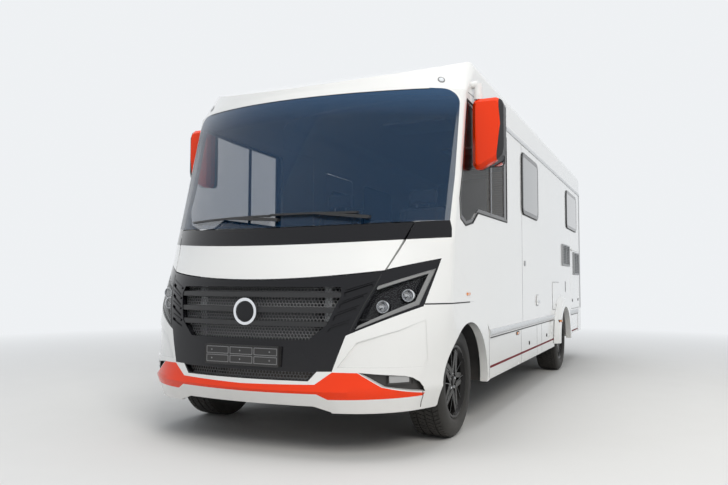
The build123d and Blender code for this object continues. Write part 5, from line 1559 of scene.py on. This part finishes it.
add_turned(camera_pod, [(0, 0), (0, 0.012), (0.006, 0.012), (0.006, 0.009), (0.003, 0)],
           (0, tail_y - 0.006, 2.320), (0, 1, -0.4), 24)
add_piece("rear_camera", camera_pod, seal_black, bevel=0.004)
rear_joints = bmesh.new()
add_block(rear_joints, (-half_width + 0.04, tail_y - 0.0352, 0.698),
          (half_width - 0.04, tail_y - 0.0340, 0.702))
add_piece("rear_joint", rear_joints, seal_black)
print("tail finished at", round(tail_y, 3))

# %% [markdown]
# On the roof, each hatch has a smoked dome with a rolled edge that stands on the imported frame.

# %% Roof hatch domes
domes = bmesh.new()
for y, across, along in ((2.150, 0.700, 0.500), (3.600, 0.400, 0.400), (5.150, 0.700, 0.500)):
    middle = behind(y)
    for inset, base, top in ((0.012, 2.757, 2.768), (0.045, 2.768, 2.780)):
        add_prism(domes, round_outline((-across / 2 + inset, middle - along / 2 + inset),
                                       (across / 2 - inset, middle + along / 2 - inset), 0.05),
                  "Z", base, top)
add_piece("hatch_domes", domes, white_lens, bevel=0.006)
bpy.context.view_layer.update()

# %% [markdown]
# Above each front wheel a black liner closes the arch. It is a thin ribbed sheet on an oval round the wheel,
# wide enough for the steered tyre, and its outer edge draws in towards the bumper, whose skin curves in front
# of the wheel.

# %% Front wheel liners
liner_y, liner_z = behind(0.020), axle_height
for side, side_name in sides:
    liner, rows = bmesh.new(), []
    for i in range(37):
        turn = radians(-8 + 196 * i / 36)
        ridge = 0.004 if i % 4 == 2 else 0.0
        outer = 1.040 - 0.070 * max(0.0, cos(turn))
        section = []
        for x, grow_by in ((0.640, 0.0), (0.760, 0.0), (outer, 0.0), (outer, 0.006), (0.640, 0.006)):
            reach_y, reach_z = 0.506 - ridge + grow_by, 0.413 - ridge + grow_by
            section.append(liner.verts.new((side * x, liner_y - reach_y * cos(turn),
                                            liner_z + reach_z * sin(turn))))
        rows.append(section)
    add_tube(liner, rows)
    add_piece(f"front_liner_{side_name}", liner, satin_black)
print("liners of", len(rows), "rows of points")

# %% [markdown]
# Under the floor, leaf springs carry the rear axle. Each is a stack of three bent leaves, the lowest the
# shortest, clamped to the axle and hung by an eye at either end.

# %% Leaf springs
longest = 0.62
leaf_springs = bmesh.new()
for side in (1, -1):
    for layer, half_span in ((0, longest), (1, 0.46), (2, 0.30)):
        points = []
        for i in range(17):
            along = -half_span + 2 * half_span * i / 16
            points.append((rear_axle_y + along,
                           axle_height + 0.060 + 0.085 * (along / longest) ** 2 - 0.012 * layer))
        outline = points + [(y, z - 0.010) for y, z in reversed(points)]
        low, high = sorted((side * 0.530, side * 0.590))
        add_prism(leaf_springs, outline, "X", low, high)
    for along in (-longest, longest):
        add_bar(leaf_springs, (side * 0.520, rear_axle_y + along, axle_height + 0.142),
                (side * 0.600, rear_axle_y + along, axle_height + 0.142), 0.020, 16)
    for y in (rear_axle_y - 0.05, rear_axle_y + 0.05):
        add_bar(leaf_springs, (side * 0.520, y, axle_height + 0.075), (side * 0.600, y, axle_height + 0.075),
                0.008, 10)
add_piece("leaf_springs", leaf_springs, steel_painted, bevel=0.001)
print("leaf springs", 2 * longest, "m long")

# %% [markdown]
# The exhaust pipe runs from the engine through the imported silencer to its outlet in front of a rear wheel. A
# pipe is a ring of points swept along its corners, and each corner is rounded by a short curve.

# %% Exhaust pipe
def add_pipe(shape, corners, radius, bend=0.10):
    """Adds a round pipe along a list of corners, each inner one rounded."""
    around = 16
    corners = [Vector(corner) for corner in corners]
    path = [corners[0]]
    for before, corner, after in zip(corners, corners[1:], corners[2:]):
        start = corner + (before - corner).normalized() * bend
        end = corner + (after - corner).normalized() * bend
        for i in range(9):
            part = i / 8
            path.append(start.lerp(corner, part).lerp(corner.lerp(end, part), part))
    path.append(corners[-1])
    rings = []
    across = (path[1] - path[0]).orthogonal()
    for i, place in enumerate(path):
        along = (path[min(i + 1, len(path) - 1)] - path[max(i - 1, 0)]).normalized()
        across = (across - along * across.dot(along)).normalized()
        upward = along.cross(across)
        rings.append([shape.verts.new(place + radius * (cos(turn) * across + sin(turn) * upward))
                      for turn in (2 * pi * k / around for k in range(around))])
    add_tube(shape, rings)


pipe_x, pipe_z = -0.200, 0.444
exhaust = bmesh.new()
add_pipe(exhaust, [(0.060, behind(-0.200), 0.440), (0.060, behind(0.350), 0.440),
                   (pipe_x, behind(1.050), pipe_z), (pipe_x, behind(1.520), pipe_z)], 0.028)
add_pipe(exhaust, [(pipe_x, behind(2.380), pipe_z), (pipe_x, behind(2.860), pipe_z),
                   (-0.880, behind(3.020), pipe_z), (-0.960, behind(3.030), pipe_z - 0.110)],
         0.026, bend=0.060)
for y in (1.476, 2.401):
    add_bar(exhaust, (pipe_x, behind(y), pipe_z), (pipe_x, behind(y) + 0.024, pipe_z), 0.036, 24)
add_piece("exhaust_pipe", exhaust, steel_painted)
print("exhaust pipe at a height of", pipe_z, "m")

# %% [markdown]
# The two cab seats are padded, so they are made as an upholsterer would: a cut shape slightly too small is
# remeshed into an even cloth, and Blender's Cloth blows it up under a little pressure until its sides pull in
# between the corners. How far a point may move is capped, then the sewn seams are pressed in. One seat is
# simulated, and the other has copies of its pads.

# %% Padded seats
seat_x, seat_y, cab_floor = 0.400, behind(0.760), 0.800


def pad_form(half_across, half_along, half_thick, radius):
    """The cut shape of a pad, lying flat round the origin."""
    shape = bmesh.new()
    add_prism(shape, round_outline((-half_across, -half_along), (half_across, half_along), radius, 6), "Z",
              -half_thick, half_thick)
    return mesh_of(shape, "pad form")


def blown(mesh, cap):
    """Remeshes a form evenly, blows it up as cloth and caps how far its points may move."""
    pad = add_object("pad", mesh)
    even = pad.modifiers.new("even", "REMESH")
    even.mode = "VOXEL"
    even.voxel_size = 0.006
    graph = bpy.context.evaluated_depsgraph_get()
    pad.data = bpy.data.meshes.new_from_object(pad.evaluated_get(graph))
    pad.modifiers.clear()
    cloth = pad.modifiers.new("cloth", "CLOTH")
    cloth.settings.use_pressure = True
    cloth.settings.uniform_pressure_force = 4.0
    cloth.settings.effector_weights.gravity = 0.0
    cloth.settings.quality = 4
    for step in range(1, 21):
        bpy.context.scene.frame_set(step)
    graph = bpy.context.evaluated_depsgraph_get()
    swollen = bpy.data.meshes.new_from_object(pad.evaluated_get(graph))
    for before, after in zip(pad.data.vertices, swollen.vertices):
        moved = after.co - before.co
        if moved.length > cap:
            moved *= cap / moved.length
        before.co = before.co + moved
    pad.modifiers.clear()
    bpy.data.meshes.remove(swollen)
    bpy.context.scene.frame_set(1)
    mesh = pad.data
    bpy.data.objects.remove(pad)
    return mesh


def press_seams(mesh, across_seams, along_seams, depth):
    """Presses sewn channels into the upper face, at the given places across and along the pad."""
    half_wide = 0.016
    for vertex in mesh.vertices:
        a, b, c = vertex.co
        if c < 0:
            continue
        near = min([abs(a - place) for place in across_seams] + [abs(b - place) for place in along_seams])
        if near < half_wide:
            vertex.co.z -= depth * (1 - (near / half_wide) ** 2) ** 2


def place_pad(name, mesh, x, origin, lean, finish, replaced=()):
    laid = mesh.copy()
    laid.transform(Matrix.Translation((x, origin[0], origin[1])) @ Matrix.Rotation(lean, 4, "X"))
    piece = add_piece(name, laid, finish, replaced=replaced, subdivide=1, sharp=180)


cushion = blown(pad_form(0.222, 0.218, 0.046, 0.055), 0.022)
press_seams(cushion, (-0.145, 0.145), (-0.075, 0.070), 0.007)
back_rest = blown(pad_form(0.220, 0.246, 0.030, 0.060), 0.022)
press_seams(back_rest, (-0.140, 0.140), (-0.110, 0.040), 0.007)
head_rest = blown(pad_form(0.128, 0.066, 0.022, 0.040), 0.012)
press_seams(head_rest, (-0.085, 0.085), (), 0.004)
for side, side_name in sides:
    x = side * seat_x
    place_pad(f"seat_cushion_{side_name}", cushion, x, (seat_y - 0.045, 1.132), radians(-1), seat_cloth,
              replaced=["seats"])
    place_pad(f"seat_back_{side_name}", back_rest, x, (seat_y + 0.276, 1.452), radians(78.5), seat_cloth)
    place_pad(f"head_rest_{side_name}", head_rest, x, (seat_y + 0.322, 1.782), radians(84), seat_cloth)
print("seat pads", len(cushion.vertices), len(back_rest.vertices), len(head_rest.vertices), "points")

# %% [markdown]
# The frame of each seat stays rigid: a plinth on the cab floor, a swivel plate, a shell behind the back rest,
# two posts for the head rest and a padded-looking but hard armrest on each side.

# %% Seat frames
seat_frames, seat_metal = bmesh.new(), bmesh.new()
for x in (seat_x, -seat_x):
    add_prism(seat_frames, round_outline((x - 0.195, seat_y - 0.195), (x + 0.195, seat_y + 0.225), 0.030),
              "Z", cab_floor + 0.031, cab_floor + 0.215)
    add_prism(seat_frames, round_outline((x - 0.232, seat_y - 0.255), (x + 0.232, seat_y + 0.275), 0.050),
              "Z", cab_floor + 0.256, cab_floor + 0.288)
    shell = [(seat_y + 0.292, 1.085), (seat_y + 0.316, 1.085), (seat_y + 0.398, 1.640),
             (seat_y + 0.392, 1.700), (seat_y + 0.370, 1.700)]
    add_prism(seat_frames, shell, "X", x - 0.205, x + 0.205)
    add_turned(seat_metal, [(0, 0), (0, 0.17), (0.012, 0.17), (0.012, 0.15), (0.042, 0.15), (0.042, 0)],
               (x, seat_y + 0.010, cab_floor + 0.214), (0, 0, 1), 48)
    for post in (-0.055, 0.055):
        add_bar(seat_metal, (x + post, seat_y + 0.312, 1.690), (x + post, seat_y + 0.324, 1.760), 0.006, 12)
    for arm in (-0.238, 0.200):
        add_prism(seat_frames, [(seat_y - 0.160, 1.352), (seat_y - 0.150, 1.336), (seat_y + 0.270, 1.330),
                                (seat_y + 0.270, 1.368), (seat_y - 0.150, 1.374)], "X", x + arm,
                                x + arm + 0.038)
add_piece("seat_frames", seat_frames, dash_skin, bevel=0.008)
add_piece("seat_metal", seat_metal, zinc, bevel=0.001)
print("seat frames on a cab floor at", cab_floor, "m")

# %% [markdown]
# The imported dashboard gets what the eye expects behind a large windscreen: a hood over the instruments, a
# wide centre screen and round air vents. A ray from above finds the height of the dashboard under each of
# them.

# %% Dashboard
def on_dashboard(x, y):
    """The dashboard's height at (x, y), or its middle height where the ray finds nothing."""
    place, _, _, _ = skin_of("dashboard").ray_cast(Vector((x, y, 2.2)), Vector((0, 0, -1)))
    return place.z if place else 1.37


hood_y = behind(0.02)
hood_z = on_dashboard(seat_x, hood_y)
hood = bmesh.new()
hood_outline = [(hood_y - 0.10, hood_z - 0.02), (hood_y + 0.10, hood_z - 0.02),
                (hood_y + 0.13, hood_z + 0.055), (hood_y + 0.09, hood_z + 0.070),
                (hood_y - 0.06, hood_z + 0.035)]
add_prism(hood, hood_outline, "X", seat_x - 0.19, seat_x + 0.19)
screen_z = on_dashboard(0.0, hood_y + 0.05)
add_prism(hood, round_outline((-0.135, screen_z - 0.02), (0.135, screen_z + 0.115), 0.012), "Y",
          hood_y + 0.045, hood_y + 0.065)
for x in (-0.62, -0.22, 0.78):
    vent_z = on_dashboard(x, hood_y)
    add_turned(hood, [(-0.01, 0), (-0.01, 0.044), (0.012, 0.044), (0.016, 0.038), (0.012, 0.032),
                      (0.006, 0.030), (0.006, 0)], (x, hood_y, vent_z), (0, 0.5, 1), 32)
add_piece("dashboard_fittings", hood, dash_skin, bevel=0.005)
screen = bmesh.new()
add_prism(screen, round_outline((-0.125, screen_z - 0.005), (0.125, screen_z + 0.106), 0.008), "Y",
          hood_y + 0.0648, hood_y + 0.0662)
add_piece("centre_screen", screen, gloss_black)
print("instrument hood at a height of", round(hood_z, 3), "m")

# %% [markdown]
# The steering wheel is a smooth round rim with a moulded hub, three spokes and its column. The rim's tube is
# a circle turned about the column's axis. A spoke is a tapered block between the hub and the rim.

# %% Steering wheel
rake = radians(35)
wheel_centre = Vector((seat_x, behind(0.215), 1.330))
wheel_axis = Vector((0, cos(rake), sin(rake)))
steering = bmesh.new()
wheel_radius, tube_radius = 0.180, 0.0165
tube_turns = [2 * pi * i / 14 for i in range(14)]
tube = [(tube_radius * sin(turn), wheel_radius + tube_radius * cos(turn)) for turn in tube_turns]
add_turned(steering, tube, wheel_centre, wheel_axis, 72, closed=True)
add_turned(steering, [(-0.030, 0), (-0.030, 0.050), (-0.012, 0.072), (0.010, 0.074), (0.022, 0.062),
                      (0.028, 0.030), (0.029, 0)], wheel_centre, wheel_axis, 48)
across, upward = Vector((1, 0, 0)), Vector((0, -sin(rake), cos(rake)))
for turn in (8, 172, 270):
    direction = across * cos(radians(turn)) + upward * sin(radians(turn))
    sideways = wheel_axis.cross(direction).normalized()
    corners = []
    for reach, half_wide in ((0.055, 0.026), (0.172, 0.015)):
        for flank, out in ((-1, -0.008), (1, -0.008), (1, 0.008), (-1, 0.008)):
            corners.append(steering.verts.new(wheel_centre + direction * reach + sideways * flank * half_wide
                                              + wheel_axis * out))
    steering.faces.new(corners[:4])
    steering.faces.new(corners[4:])
    for i in range(4):
        steering.faces.new((corners[(i - 1) % 4], corners[i], corners[i + 4], corners[(i - 1) % 4 + 4]))
add_bar(steering, wheel_centre - wheel_axis * 0.148, wheel_centre - wheel_axis * 0.028, 0.034, 24)
add_piece("steering_wheel_rim", steering, dash_skin, replaced=["steering_wheel"], bevel=0.003)
print("steering wheel of", 2 * wheel_radius, "m")
